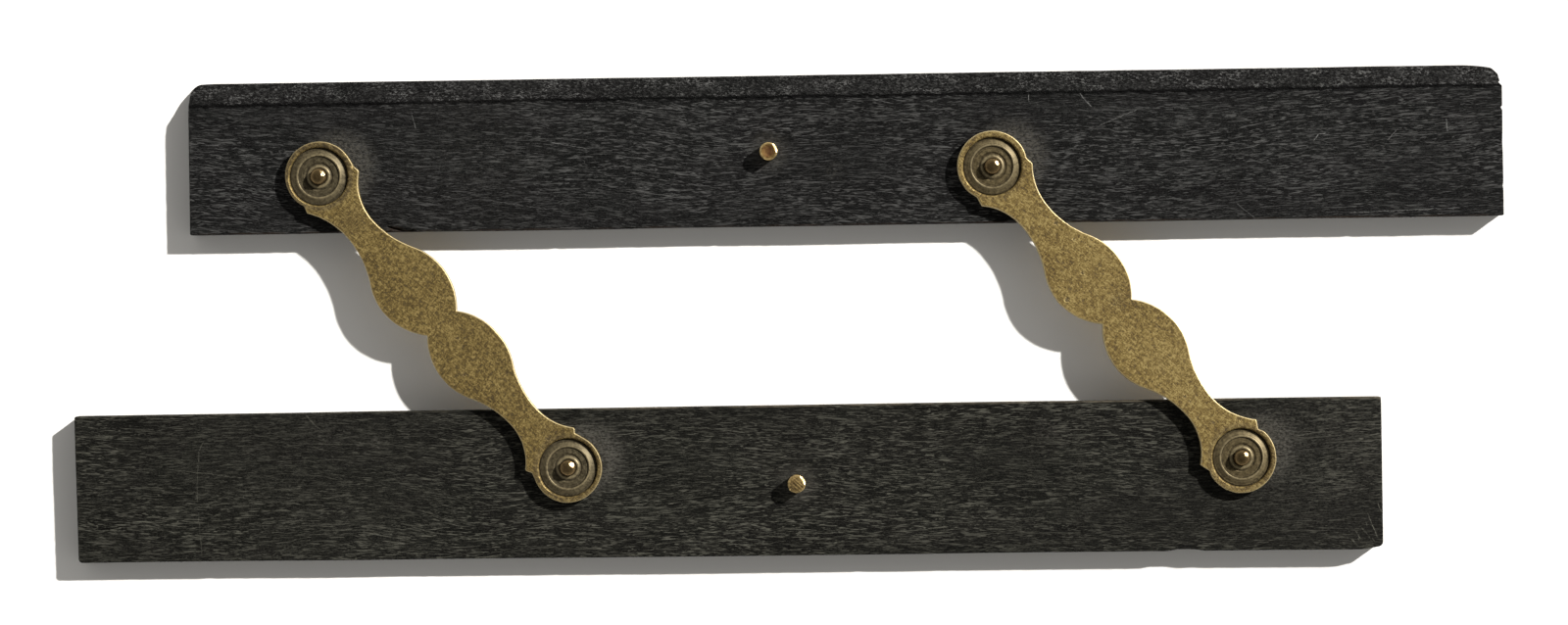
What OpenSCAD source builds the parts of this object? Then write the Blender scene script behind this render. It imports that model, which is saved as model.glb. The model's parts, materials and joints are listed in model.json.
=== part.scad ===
// Parallel rule: two ebony blades joined by two shaped brass arms.
// Millimetres. +X runs along the blades, +Y from the lower blade to the upper
// one, +Z up. The rule lies open on z = 0, with the origin under its middle.

/* [Blades] */
// Thickness of both blades
blade_t = 4.0; // [3.5:0.1:6]
// Length of the upper blade
upper_len = 229.2; // [224:0.1:240]
// Length of the lower blade
lower_len = 228.0; // [224:0.1:240]
// Width of the upper blade
upper_w = 26.5; // [22:0.1:32]
// Width of the lower blade at its right end
lower_w = 26.6; // [22:0.1:32]
// How much narrower the lower blade is at its left end
lower_taper = 1.0; // [0:0.1:2]
// How far the left end of the lower blade is out of square
end_skew = 0.4; // [0:0.1:1]
// Width of the bevel on the upper blade's outer edge
bevel_w = 4.0; // [1:0.1:6]
// Height of the edge that the bevel leaves
bevel_edge = 0.8; // [0.4:0.1:2]
// Rounding of the worn left corner of the upper blade
worn_corner = 1.6; // [0.5:0.1:3]
// Rounding of the other corners
corner = 0.6; // [0.2:0.1:1.5]

/* [Linkage] */
// Distance between the pivots of one arm
arm_len = 66.7; // [60:0.1:80]
// Distance between the two pivots of one blade
pivot_gap = 117.2; // [100:0.1:140]
// Angle of the arms to the blades, as the rule lies open
arm_angle = 50.3; // [35:0.1:80]
// Inset of the upper pivots from the upper blade's inner edge
upper_inset = 9.8; // [8:0.1:11]
// Inset of the lower pivots from the lower blade's inner edge
lower_inset = 10.2; // [8:0.1:11]
// From the upper blade's left end to its left pivot
upper_pivot_x = 22.8; // [20:0.1:28]
// From the lower blade's left end to its left pivot
lower_pivot_x = 86.1; // [82:0.1:92]

/* [Arms] */
// Thickness of an arm
arm_t = 1.5; // [1.2:0.1:2.4]
// Radius of the round end of an arm
end_r = 6.1; // [5.8:0.1:6.6]
// Half the width of the neck beside each end
neck_half = 2.7; // [2:0.1:3.5]
// Distance of the neck from the pivot
neck_x = 11.6; // [11:0.1:12.5]
// Half the width of each swelling
bulb_half = 6.4; // [5.8:0.1:6.8]
// Distance of the widest place from the pivot
bulb_x = 25.6; // [24.6:0.1:26.2]
// Radius of the hollow between the shoulders and the neck
shoulder_r = 11.0; // [10.5:0.5:13]
// Radius of the outline of each swelling
bulb_r = 11.2; // [10.5:0.1:12]
// Distance of the pointed shoulders from the pivot
ear_x = 3.85; // [3.6:0.05:4.2]

/* [Pivots] */
// Radius of a pivot pin
pin_r = 1.4; // [1:0.1:1.7]
// Height of the pin's domed tip above the table
pin_top = 7.1; // [6.8:0.1:8]
// Height of the dome on a pin
dome_h = 0.7; // [0.4:0.1:1]
// Radial play of a pin in an arm
pin_play = 0.05; // [0.02:0.01:0.1]
// Play above and below an arm
end_play = 0.02; // [0.01:0.01:0.05]
// Radius of the recess in an arm end
recess_r = 5.05; // [4.8:0.05:5.3]
// Depth of that recess
recess_d = 0.75; // [0.5:0.05:0.8]
// Gap round a rosette in its recess
rosette_gap = 0.1; // [0.05:0.05:0.2]
// Thickness of the spacer under an arm end
spacer_t = 0.25; // [0.2:0.05:0.5]
// Radius of that spacer
spacer_r = 4.5; // [3:0.1:5.5]
// Radius of the plate that a pin is riveted into
plate_r = 3.2; // [2.6:0.1:4]
// Thickness of that plate
plate_t = 0.8; // [0.7:0.1:1.2]
// How far the plates lie below flush
plate_sink = 0.1; // [0.05:0.05:0.2]

/* [Finger posts] */
// Radius of a finger post
post_r = 1.55; // [1.2:0.05:2]
// Height of a post above its blade
post_h = 2.5; // [2:0.1:5]
// Radius of the tenon under a post
tenon_r = 1.2; // [0.8:0.05:1.2]
// Depth of that tenon in the wood
post_depth = 3.0; // [2:0.1:3]
// Chamfer round the top of a post
post_chamfer = 0.2; // [0.1:0.05:0.4]
// From the upper blade's left end to its post
upper_post_x = 101.1; // [95:0.1:110]
// From the upper blade's inner edge to its post
upper_post_y = 13.0; // [11:0.1:16]
// From the lower blade's left end to its post
lower_post_x = 125.8; // [115:0.1:130]
// From the lower blade's inner edge to its post
lower_post_y = 13.6; // [11:0.1:16]

/* [Hidden] */
$fn = 96;
eps = 0.01;

ebony = [0.13, 0.13, 0.12];
brass = [0.55, 0.46, 0.28];
dull_brass = [0.50, 0.45, 0.37];

// the arms' vector from a lower pivot to the upper one
arm_dx = -arm_len * cos(arm_angle);
arm_dy = arm_len * sin(arm_angle);

// height and width of the whole rule, which put the origin in its middle
total_y = lower_w - lower_inset + arm_dy - upper_inset + upper_w;
total_x = lower_pivot_x + arm_dx - upper_pivot_x + upper_len;
low_x = -total_x / 2;
low_y = -total_y / 2;

// pivots
ll = [low_x + lower_pivot_x, low_y + lower_w - lower_inset];
lr = [ll[0] + pivot_gap, ll[1]];
ul = [ll[0] + arm_dx, ll[1] + arm_dy];
ur = [ul[0] + pivot_gap, ul[1]];

// blade edges
lower_in = ll[1] + lower_inset;
lower_out = lower_in - lower_w;
upper_in = ul[1] - upper_inset;
upper_out = upper_in + upper_w;
upper_x = ul[0] - upper_pivot_x;

// finger posts
up_post = [upper_x + upper_post_x, upper_in + upper_post_y];
lo_post = [low_x + lower_post_x, lower_in - lower_post_y];

// heights
arm_z = blade_t + spacer_t + end_play;
arm_top = arm_z + arm_t;
rosette_z = arm_top - recess_d + end_play;

// the curve between neck and swelling runs into both of them, a little deeper
// than one that only touches the swelling
touch_r = (pow(bulb_x - neck_x, 2) + pow(neck_half + bulb_r - bulb_half, 2)
          - pow(bulb_r, 2)) / (2 * (bulb_half - neck_half));
touch_x = bulb_x - (bulb_x - neck_x) * bulb_r / (bulb_r + touch_r);
neck_r = touch_r + 0.15;

// pointed shoulders, whose flanks run on into the round end on one side and
// past the hollow's outline on the other
ear_y = neck_half + shoulder_r - sqrt(pow(shoulder_r, 2) - pow(neck_x - ear_x, 2));
notch_x = ear_x - 1.1;
notch_y = sqrt(pow(end_r, 2) - pow(notch_x, 2));
flank = (ear_y - notch_y) / (ear_x - notch_x);
flank_x = notch_x - 0.5;
flank_y = notch_y - 0.5 * flank;
far_y = ear_y + (neck_x - ear_x) * flank;

// what is cut away to round the corner c, whose sides leave it along sx and sy
module corner_cut(c, r, sx, sy) {
    difference() {
        translate([c[0] + sx * (r / 2 - 1), c[1] + sy * (r / 2 - 1)])
            square([r + 2, r + 2], center = true);
        translate([c[0] + sx * r, c[1] + sy * r]) circle(r = r);
        translate([c[0] + sx * (r + 3), c[1] + sy * r / 2])
            square([6, 3 * r + 6], center = true);
        translate([c[0] + sx * r / 2, c[1] + sy * (r + 3)])
            square([3 * r + 6, 6], center = true);
    }
}

// hole for a pin, with the pocket of its rivet plate
module pin_seat(p) {
    translate([p[0], p[1], -1]) cylinder(r = pin_r, h = blade_t + 2);
    translate([p[0], p[1], -1]) cylinder(r = plate_r, h = 1 + plate_sink + plate_t);
}

module post_hole(p) {
    translate([p[0], p[1], blade_t - post_depth])
        cylinder(r = tenon_r, h = post_depth + 1);
}

module upper_blade() {
    color(ebony) difference() {
        linear_extrude(blade_t) difference() {
            translate([upper_x, upper_in]) square([upper_len, upper_w]);
            corner_cut([upper_x, upper_out], worn_corner, 1, -1);
            corner_cut([upper_x, upper_in], corner, 1, 1);
            corner_cut([upper_x + upper_len, upper_out], corner, -1, -1);
            corner_cut([upper_x + upper_len, upper_in], corner, -1, 1);
        }
        // bevel along the outer edge
        translate([upper_x - 5, 0, 0]) rotate([90, 0, 90])
            linear_extrude(upper_len + 10) polygon([
                [upper_out - bevel_w, blade_t],
                [upper_out, bevel_edge],
                [upper_out + 3, bevel_edge],
                [upper_out + 3, blade_t + 1],
                [upper_out - bevel_w, blade_t + 1]]);
        pin_seat(ul);
        pin_seat(ur);
        post_hole(up_post);
    }
}

module lower_blade() {
    color(ebony) difference() {
        linear_extrude(blade_t) difference() {
            polygon([
                [low_x, lower_in],
                [low_x + end_skew, lower_out + lower_taper],
                [low_x + lower_len, lower_out],
                [low_x + lower_len, lower_in]]);
            corner_cut([low_x, lower_in], corner, 1, -1);
            corner_cut([low_x + lower_len, lower_in], corner, -1, -1);
            corner_cut([low_x + lower_len, lower_out], corner, -1, 1);
        }
        pin_seat(ll);
        pin_seat(lr);
        post_hole(lo_post);
    }
}

// one end of an arm, from the pivot at the origin to the middle of its length
module arm_half() {
    circle(r = end_r);
    // pointed shoulders and the hollow from them to the neck
    difference() {
        polygon([[0, 1 - end_r], [flank_x, -flank_y], [neck_x, -far_y],
                 [neck_x, far_y], [flank_x, flank_y], [0, end_r - 1]]);
        for (s = [-1, 1]) translate([neck_x, s * (neck_half + shoulder_r)])
            circle(r = shoulder_r, $fn = 180);
    }
    // the swelling, cut off where it meets its twin, and its way to the neck
    difference() {
        union() {
            translate([neck_x, -bulb_half]) square([touch_x - neck_x, 2 * bulb_half]);
            intersection() {
                translate([neck_x + 1, -bulb_half - 1])
                    square([arm_len / 2 - neck_x - 1, 2 * bulb_half + 2]);
                swelling_overlap() circle(r = bulb_r, $fn = 180);
            }
        }
        for (s = [-1, 1]) translate([neck_x, s * (neck_half + neck_r)])
            circle(r = neck_r, $fn = 180);
    }
}

// what the two outlines of the swelling have in common
module swelling_overlap() {
    intersection() {
        translate([bulb_x, bulb_half - bulb_r]) children();
        translate([bulb_x, bulb_r - bulb_half]) children();
    }
}

// an arm lying along +X from its first pivot at the origin
module arm() {
    difference() {
        linear_extrude(arm_t) {
            arm_half();
            translate([arm_len, 0]) mirror([1, 0]) arm_half();
        }
        for (x = [0, arm_len]) translate([x, 0, 0]) {
            translate([0, 0, arm_t - recess_d]) cylinder(r = recess_r, h = recess_d + 1);
            translate([0, 0, -1]) cylinder(r = pin_r + pin_play, h = arm_t + 2);
        }
    }
}

module placed_arm(p) {
    color(brass) translate([p[0], p[1], arm_z]) rotate([0, 0, 180 - arm_angle]) arm();
}

module left_arm() { placed_arm(ll); }
module right_arm() { placed_arm(lr); }

// pin with a flared lower end and a domed tip
module pin(p) {
    low = plate_sink;
    flare = 0.6;
    shank_top = pin_top - dome_h;
    color(dull_brass) translate([p[0], p[1], 0]) {
        translate([0, 0, low]) cylinder(r1 = pin_r + flare, r2 = pin_r, h = flare);
        translate([0, 0, low]) cylinder(r = pin_r, h = shank_top - low);
        // the dome is a cap of a larger sphere
        intersection() {
            translate([0, 0, shank_top - eps]) cylinder(r = pin_r, h = dome_h + 1);
            translate([0, 0, pin_top - cap_r]) sphere(r = cap_r);
        }
    }
}
cap_r = (pow(pin_r, 2) + pow(dome_h, 2)) / (2 * dome_h);

module upper_left_pin() { pin(ul); }
module upper_right_pin() { pin(ur); }
module lower_left_pin() { pin(ll); }
module lower_right_pin() { pin(lr); }

// turned washer with a ridge, a sunk disc, a groove and a collar
module rosette(p) {
    r = recess_r - rosette_gap;
    color(dull_brass) translate([p[0], p[1], rosette_z]) rotate_extrude()
        polygon([
            [pin_r, 0], [r, 0], [r, 0.25], [4.45, 0.25], [3.85, 0.58],
            [3.60, 0.58], [3.45, 0.35], [2.55, 0.38], [2.40, 0.24],
            [2.15, 0.24], [1.90, 0.50], [pin_r, 0.50]]);
}

module upper_left_rosette() { rosette(ul); }
module upper_right_rosette() { rosette(ur); }
module lower_left_rosette() { rosette(ll); }
module lower_right_rosette() { rosette(lr); }

// thin washer between blade and arm
module spacer(p) {
    color(brass) translate([p[0], p[1], blade_t]) difference() {
        cylinder(r = spacer_r, h = spacer_t);
        translate([0, 0, -1]) cylinder(r = pin_r, h = spacer_t + 2);
    }
}

module upper_left_spacer() { spacer(ul); }
module upper_right_spacer() { spacer(ur); }
module lower_left_spacer() { spacer(ll); }
module lower_right_spacer() { spacer(lr); }

// countersunk plate in the underside, which holds the pin's flared end
module rivet_plate(p) {
    color(brass) translate([p[0], p[1], plate_sink]) difference() {
        cylinder(r = plate_r, h = plate_t);
        translate([0, 0, -1]) cylinder(r = pin_r, h = plate_t + 2);
        cylinder(r1 = pin_r + 0.6, r2 = pin_r, h = 0.6);
    }
}

module upper_left_rivet_plate() { rivet_plate(ul); }
module upper_right_rivet_plate() { rivet_plate(ur); }
module lower_left_rivet_plate() { rivet_plate(ll); }
module lower_right_rivet_plate() { rivet_plate(lr); }

// plain post on a thinner tenon
module post(p) {
    color(brass) translate([p[0], p[1], blade_t]) {
        translate([0, 0, -post_depth]) cylinder(r = tenon_r, h = post_depth + 1);
        cylinder(r = post_r, h = post_h - post_chamfer);
        translate([0, 0, post_h - post_chamfer])
            cylinder(r1 = post_r, r2 = post_r - post_chamfer, h = post_chamfer);
    }
}

module upper_finger_post() { post(up_post); }
module lower_finger_post() { post(lo_post); }

upper_blade();
lower_blade();
left_arm();
right_arm();
upper_left_pin();
upper_right_pin();
lower_left_pin();
lower_right_pin();
upper_left_rosette();
upper_right_rosette();
lower_left_rosette();
lower_right_rosette();
upper_left_spacer();
upper_right_spacer();
lower_left_spacer();
lower_right_spacer();
upper_left_rivet_plate();
upper_right_rivet_plate();
lower_left_rivet_plate();
lower_right_rivet_plate();
upper_finger_post();
lower_finger_post();
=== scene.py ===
import json
import math

import bpy
import numpy as np
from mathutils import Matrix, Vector
from mathutils.geometry import delaunay_2d_cdt
from mathutils.kdtree import KDTree


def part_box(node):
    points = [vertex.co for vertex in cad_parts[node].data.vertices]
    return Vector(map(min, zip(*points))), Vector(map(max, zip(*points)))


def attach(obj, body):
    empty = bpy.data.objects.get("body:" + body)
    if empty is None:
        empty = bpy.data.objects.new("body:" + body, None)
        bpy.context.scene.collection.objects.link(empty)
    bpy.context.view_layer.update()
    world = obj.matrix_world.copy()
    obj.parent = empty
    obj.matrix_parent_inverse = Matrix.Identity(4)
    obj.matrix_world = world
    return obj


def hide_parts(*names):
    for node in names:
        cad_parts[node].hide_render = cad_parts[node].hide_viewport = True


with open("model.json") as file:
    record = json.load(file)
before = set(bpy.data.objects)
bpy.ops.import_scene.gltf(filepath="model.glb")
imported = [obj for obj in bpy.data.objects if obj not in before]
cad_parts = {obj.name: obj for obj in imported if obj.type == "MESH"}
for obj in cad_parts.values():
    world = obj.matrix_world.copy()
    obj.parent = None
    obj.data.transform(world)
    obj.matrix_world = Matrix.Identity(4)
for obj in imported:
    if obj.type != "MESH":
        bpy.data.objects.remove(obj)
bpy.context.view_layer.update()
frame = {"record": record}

# All shapes below are worked out in millimetres in the model's frame and are
# scaled to metres when the mesh is made.
MM = 0.001
CORNERS = ("upper_left", "upper_right", "lower_left", "lower_right")
body_of = {n: b for b, ns in frame["record"]["behaviour"]["bodies"].items() for n in ns}


def box_mm(node):
    lo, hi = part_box(node)
    return np.array(lo) / MM, np.array(hi) / MM


def centre_mm(node):
    lo, hi = box_mm(node)
    return (lo[:2] + hi[:2]) / 2


PIVOT = {c: centre_mm(c + "_pin") for c in CORNERS}
POST = {s: centre_mm(s + "_finger_post") for s in ("upper", "lower")}
U_LO, U_HI = box_mm("upper_blade")
L_LO, L_HI = box_mm("lower_blade")
A_LO, A_HI = box_mm("left_arm")
BLADE_T = float(U_HI[2])
ARM_LOW, ARM_TOP = float(A_LO[2]), float(A_HI[2])


# --------------------------------------------------------------------------
# Smooth repeatable noise on arrays

def _lattice(ix, iy, seed):
    ix = np.asarray(ix, np.int64).astype(np.uint64)
    iy = np.asarray(iy, np.int64).astype(np.uint64)
    low = np.uint64(0xFFFFFFFF)
    n = (ix * np.uint64(374761393) + iy * np.uint64(668265263)
         + np.uint64(seed * 974634777 & 0xFFFFFFFF)) & low
    n = ((n ^ (n >> np.uint64(13))) * np.uint64(1274126177)) & low
    n = n ^ (n >> np.uint64(16))
    return (n & np.uint64(0xFFFF)).astype(float) / 32767.5 - 1.0


def noise(x, y, seed=0):
    """Value noise from -1 to 1 with a feature size of about 1."""
    x, y = np.broadcast_arrays(np.asarray(x, float), np.asarray(y, float))
    x0, y0 = np.floor(x), np.floor(y)
    fx, fy = x - x0, y - y0
    fx, fy = fx * fx * (3 - 2 * fx), fy * fy * (3 - 2 * fy)
    a, b = _lattice(x0, y0, seed), _lattice(x0 + 1, y0, seed)
    c, d = _lattice(x0, y0 + 1, seed), _lattice(x0 + 1, y0 + 1, seed)
    return (a + (b - a) * fx) * (1 - fy) + (c + (d - c) * fx) * fy


def layered(x, y, seed=0, octaves=3):
    total, size = 0.0, 1.0
    for k in range(octaves):
        total = total + noise(np.asarray(x) * 2 ** k, np.asarray(y) * 2 ** k, seed + 17 * k) * size
        size /= 2
    return total / (2 - 2 ** (1 - octaves))


def smooth(x, a, b):
    t = np.clip((np.asarray(x, float) - a) / (b - a), 0, 1)
    return t * t * (3 - 2 * t)


def round_drop(d, r):
    """How far a rounded edge of radius r lies below the flat, d from the edge."""
    e = np.clip(r - d, 0, r)
    return r - np.sqrt(np.maximum(r * r - e * e, 0))


# --------------------------------------------------------------------------
# Making pieces

def add_mesh(name, verts, faces, material, angle=32.0, attrs=None):
    me = bpy.data.meshes.new(name)
    me.from_pydata((np.asarray(verts, float) * MM).tolist(), [], [list(map(int, f)) for f in faces])
    me.polygons.foreach_set("use_smooth", [True] * len(me.polygons))
    for key, values in (attrs or {}).items():
        layer = me.attributes.new(key, "FLOAT", "POINT")
        layer.data.foreach_set("value", np.asarray(values, np.float32))
    me.update()
    if angle:
        me.set_sharp_from_angle(angle=math.radians(angle))
    me.materials.append(material)
    ob = bpy.data.objects.new(name, me)
    bpy.context.scene.collection.objects.link(ob)
    return ob


def stand_for(ob, node):
    """The piece takes a CAD node's place on that node's body."""
    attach(ob, body_of[node])
    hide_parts(node)
    return ob


def turned(profile, segments=96, closed=False, wobble=None):
    """A turned shape about the origin. profile runs from the axis or the bore
    round the outside in (r, z); closed joins its end to its start."""
    ang = np.arange(segments) * 2 * math.pi / segments
    verts, rings = [], []
    for k, (r, z) in enumerate(profile):
        if r < 1e-9:
            rings.append([len(verts)])
            verts.append((0.0, 0.0, z))
            continue
        dr, dz = wobble(k, ang) if wobble else (0.0, 0.0)
        rr = r + dr
        ring = np.stack([rr * np.cos(ang), rr * np.sin(ang), np.full(segments, z) + dz], 1)
        rings.append(list(range(len(verts), len(verts) + segments)))
        verts.extend(map(tuple, ring))
    faces = []
    pairs = list(zip(rings, rings[1:])) + ([(rings[-1], rings[0])] if closed else [])
    for a, b in pairs:
        for i in range(segments):
            j = (i + 1) % segments
            if len(a) == 1 and len(b) > 1:
                faces.append((a[0], b[j], b[i]))
            elif len(b) == 1 and len(a) > 1:
                faces.append((a[i], a[j], b[0]))
            elif len(a) > 1:
                faces.append((a[i], a[j], b[j], b[i]))
    return np.array(verts, float), faces


def softened(profile, r=0.03, steps=2, closed=False):
    """The profile with each of its corners rounded off by about r."""
    out = []
    n = len(profile)
    for k, p in enumerate(profile):
        if not closed and k in (0, n - 1):
            out.append(tuple(p))
            continue
        p0, p1, p2 = (np.array(profile[(k + o) % n], float) for o in (-1, 0, 1))
        a, b = p0 - p1, p2 - p1
        la, lb = np.linalg.norm(a), np.linalg.norm(b)
        cut = min(r, la * 0.4, lb * 0.4)
        if cut < 1e-4:
            out.append(tuple(p))
            continue
        s, e = p1 + a / la * cut, p1 + b / lb * cut
        for t in np.linspace(0, 1, steps + 1):
            q = (1 - t) ** 2 * s + 2 * t * (1 - t) * p1 + t * t * e
            out.append(tuple(q))
    return out


# --------------------------------------------------------------------------
# Shader building

class Shader:
    """A short way to write a material's nodes."""

    def __init__(self, name):
        self.mat = bpy.data.materials.new(name)
        self.mat.use_nodes = True
        self.nt = self.mat.node_tree
        self.nt.nodes.clear()
        self.out = self.nt.nodes.new("ShaderNodeOutputMaterial")
        self.bsdf = self.nt.nodes.new("ShaderNodeBsdfPrincipled")
        self.nt.links.new(self.bsdf.outputs["BSDF"], self.out.inputs["Surface"])
        tc = self.nt.nodes.new("ShaderNodeTexCoord")
        scale = self.new("ShaderNodeVectorMath", operation="SCALE")
        self.nt.links.new(tc.outputs["Object"], scale.inputs[0])
        scale.inputs["Scale"].default_value = 1000.0
        self.mm = scale.outputs[0]
        sep = self.nt.nodes.new("ShaderNodeSeparateXYZ")
        self.nt.links.new(self.mm, sep.inputs[0])
        self.x, self.y, self.z = sep.outputs

    def new(self, kind, **props):
        node = self.nt.nodes.new(kind)
        for k, v in props.items():
            setattr(node, k, v)
        return node

    def put(self, socket, value):
        if isinstance(value, bpy.types.NodeSocket):
            self.nt.links.new(value, socket)
        elif value is not None:
            if socket.type == "RGBA" and len(value) == 3:
                value = (*value, 1.0)
            socket.default_value = value

    def math(self, op, a, b=None, c=None, clamp=False):
        n = self.new("ShaderNodeMath", operation=op, use_clamp=clamp)
        for s, v in zip(n.inputs, (a, b, c)):
            if v is not None:
                self.put(s, v)
        return n.outputs[0]

    def add(self, *terms):
        total = terms[0]
        for t in terms[1:]:
            total = self.math("ADD", total, t)
        return total

    def mul(self, *terms):
        total = terms[0]
        for t in terms[1:]:
            total = self.math("MULTIPLY", total, t)
        return total

    def vec(self, x, y, z=0.0):
        n = self.new("ShaderNodeCombineXYZ")
        for s, v in zip(n.inputs, (x, y, z)):
            self.put(s, v)
        return n.outputs[0]

    def mapped(self, vector, scale=(1, 1, 1), turn=0.0, move=(0, 0, 0)):
        n = self.new("ShaderNodeMapping")
        self.put(n.inputs["Vector"], vector)
        n.inputs["Location"].default_value = move
        n.inputs["Rotation"].default_value = (0, 0, math.radians(turn))
        n.inputs["Scale"].default_value = scale
        return n.outputs[0]

    def noise(self, vector, scale=1.0, detail=2.0, rough=0.5, distort=0.0):
        n = self.new("ShaderNodeTexNoise", noise_dimensions="3D")
        self.put(n.inputs["Vector"], vector)
        n.inputs["Scale"].default_value = scale
        n.inputs["Detail"].default_value = detail
        n.inputs["Roughness"].default_value = rough
        n.inputs["Distortion"].default_value = distort
        return n.outputs["Fac"]

    def cells(self, vector, scale=1.0, feature="F1", out="Distance", random=1.0):
        n = self.new("ShaderNodeTexVoronoi", voronoi_dimensions="3D", feature=feature)
        self.put(n.inputs["Vector"], vector)
        n.inputs["Scale"].default_value = scale
        n.inputs["Randomness"].default_value = random
        return n.outputs[out]

    def span(self, value, a, b, c=0.0, d=1.0, kind="SMOOTHSTEP"):
        n = self.new("ShaderNodeMapRange", interpolation_type=kind, clamp=True)
        self.put(n.inputs["Value"], value)
        n.inputs["From Min"].default_value = a
        n.inputs["From Max"].default_value = b
        n.inputs["To Min"].default_value = c
        n.inputs["To Max"].default_value = d
        return n.outputs["Result"]

    def mix(self, fac, a, b, blend="MIX"):
        n = self.new("ShaderNodeMix", data_type="RGBA", blend_type=blend)
        self.put(n.inputs[0], fac)
        self.put(n.inputs[6], a)
        self.put(n.inputs[7], b)
        return n.outputs[2]

    def ramp(self, value, stops):
        """Colour that follows value through stops of (place, colour)."""
        n = self.new("ShaderNodeValToRGB")
        self.put(n.inputs["Fac"], value)
        while len(n.color_ramp.elements) < len(stops):
            n.color_ramp.elements.new(0.5)
        for e, (at_, col) in zip(n.color_ramp.elements, sorted(stops)):
            e.position, e.color = at_, (*col, 1.0)
        return n.outputs["Color"]

    def hairline(self, field, width, centre=0.5):
        """Thin lines where a noise field crosses centre."""
        off = self.math("ABSOLUTE", self.math("SUBTRACT", field, centre))
        return self.span(off, width, width * 0.25)

    def attr(self, name):
        n = self.new("ShaderNodeAttribute", attribute_type="GEOMETRY", attribute_name=name)
        return n.outputs["Fac"]

    def from_centre(self, centre):
        """(vector in the plane from centre, distance from it) in mm."""
        d = self.new("ShaderNodeVectorMath", operation="SUBTRACT")
        self.put(d.inputs[0], self.vec(self.x, self.y, 0.0))
        d.inputs[1].default_value = (float(centre[0]), float(centre[1]), 0.0)
        n = self.new("ShaderNodeVectorMath", operation="LENGTH")
        self.put(n.inputs[0], d.outputs[0])
        return d.outputs[0], n.outputs["Value"]

    def stroke(self, a, b, width, ragged):
        """A mark from a to b in mm, as wide as width, broken up by ragged."""
        a, b = np.array(a, float), np.array(b, float)
        along = (b - a) / np.linalg.norm(b - a)
        length = float(np.linalg.norm(b - a))
        rel, _ = self.from_centre(a)
        u = self.new("ShaderNodeVectorMath", operation="DOT_PRODUCT")
        v = self.new("ShaderNodeVectorMath", operation="DOT_PRODUCT")
        for n, w in ((u, along), (v, np.array([-along[1], along[0]]))):
            self.put(n.inputs[0], rel)
            n.inputs[1].default_value = (float(w[0]), float(w[1]), 0.0)
        inside = self.mul(self.span(u.outputs["Value"], -0.15, 0.35),
                          self.span(u.outputs["Value"], length + 0.15, length - 0.35))
        off = self.math("ABSOLUTE", self.math("ADD", v.outputs["Value"],
                                              self.mul(self.math("SUBTRACT", ragged, 0.5), 0.35)))
        return self.mul(inside, self.span(off, width, width * 0.35))

    def bump(self, height, depth_mm, strength=1.0, under=None):
        n = self.new("ShaderNodeBump")
        n.inputs["Strength"].default_value = strength
        n.inputs["Distance"].default_value = depth_mm * MM
        self.put(n.inputs["Height"], height)
        if under is not None:
            self.put(n.inputs["Normal"], under)
        return n.outputs["Normal"]

    def finish(self, colour, rough, normal=None, metallic=None, specular=None):
        self.put(self.bsdf.inputs["Base Color"], colour)
        self.put(self.bsdf.inputs["Roughness"], rough)
        if normal is not None:
            self.put(self.bsdf.inputs["Normal"], normal)
        if metallic is not None:
            self.put(self.bsdf.inputs["Metallic"], metallic)
        if specular is not None:
            self.bsdf.inputs["Specular IOR Level"].default_value = specular
        return self.mat


def srgb(r, g, b):
    """Linear colour of an 8-bit sRGB one."""
    return tuple((c / 255 / 12.92) if c / 255 <= 0.04045 else ((c / 255 + 0.055) / 1.055) ** 2.4
                 for c in (r, g, b))


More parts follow.
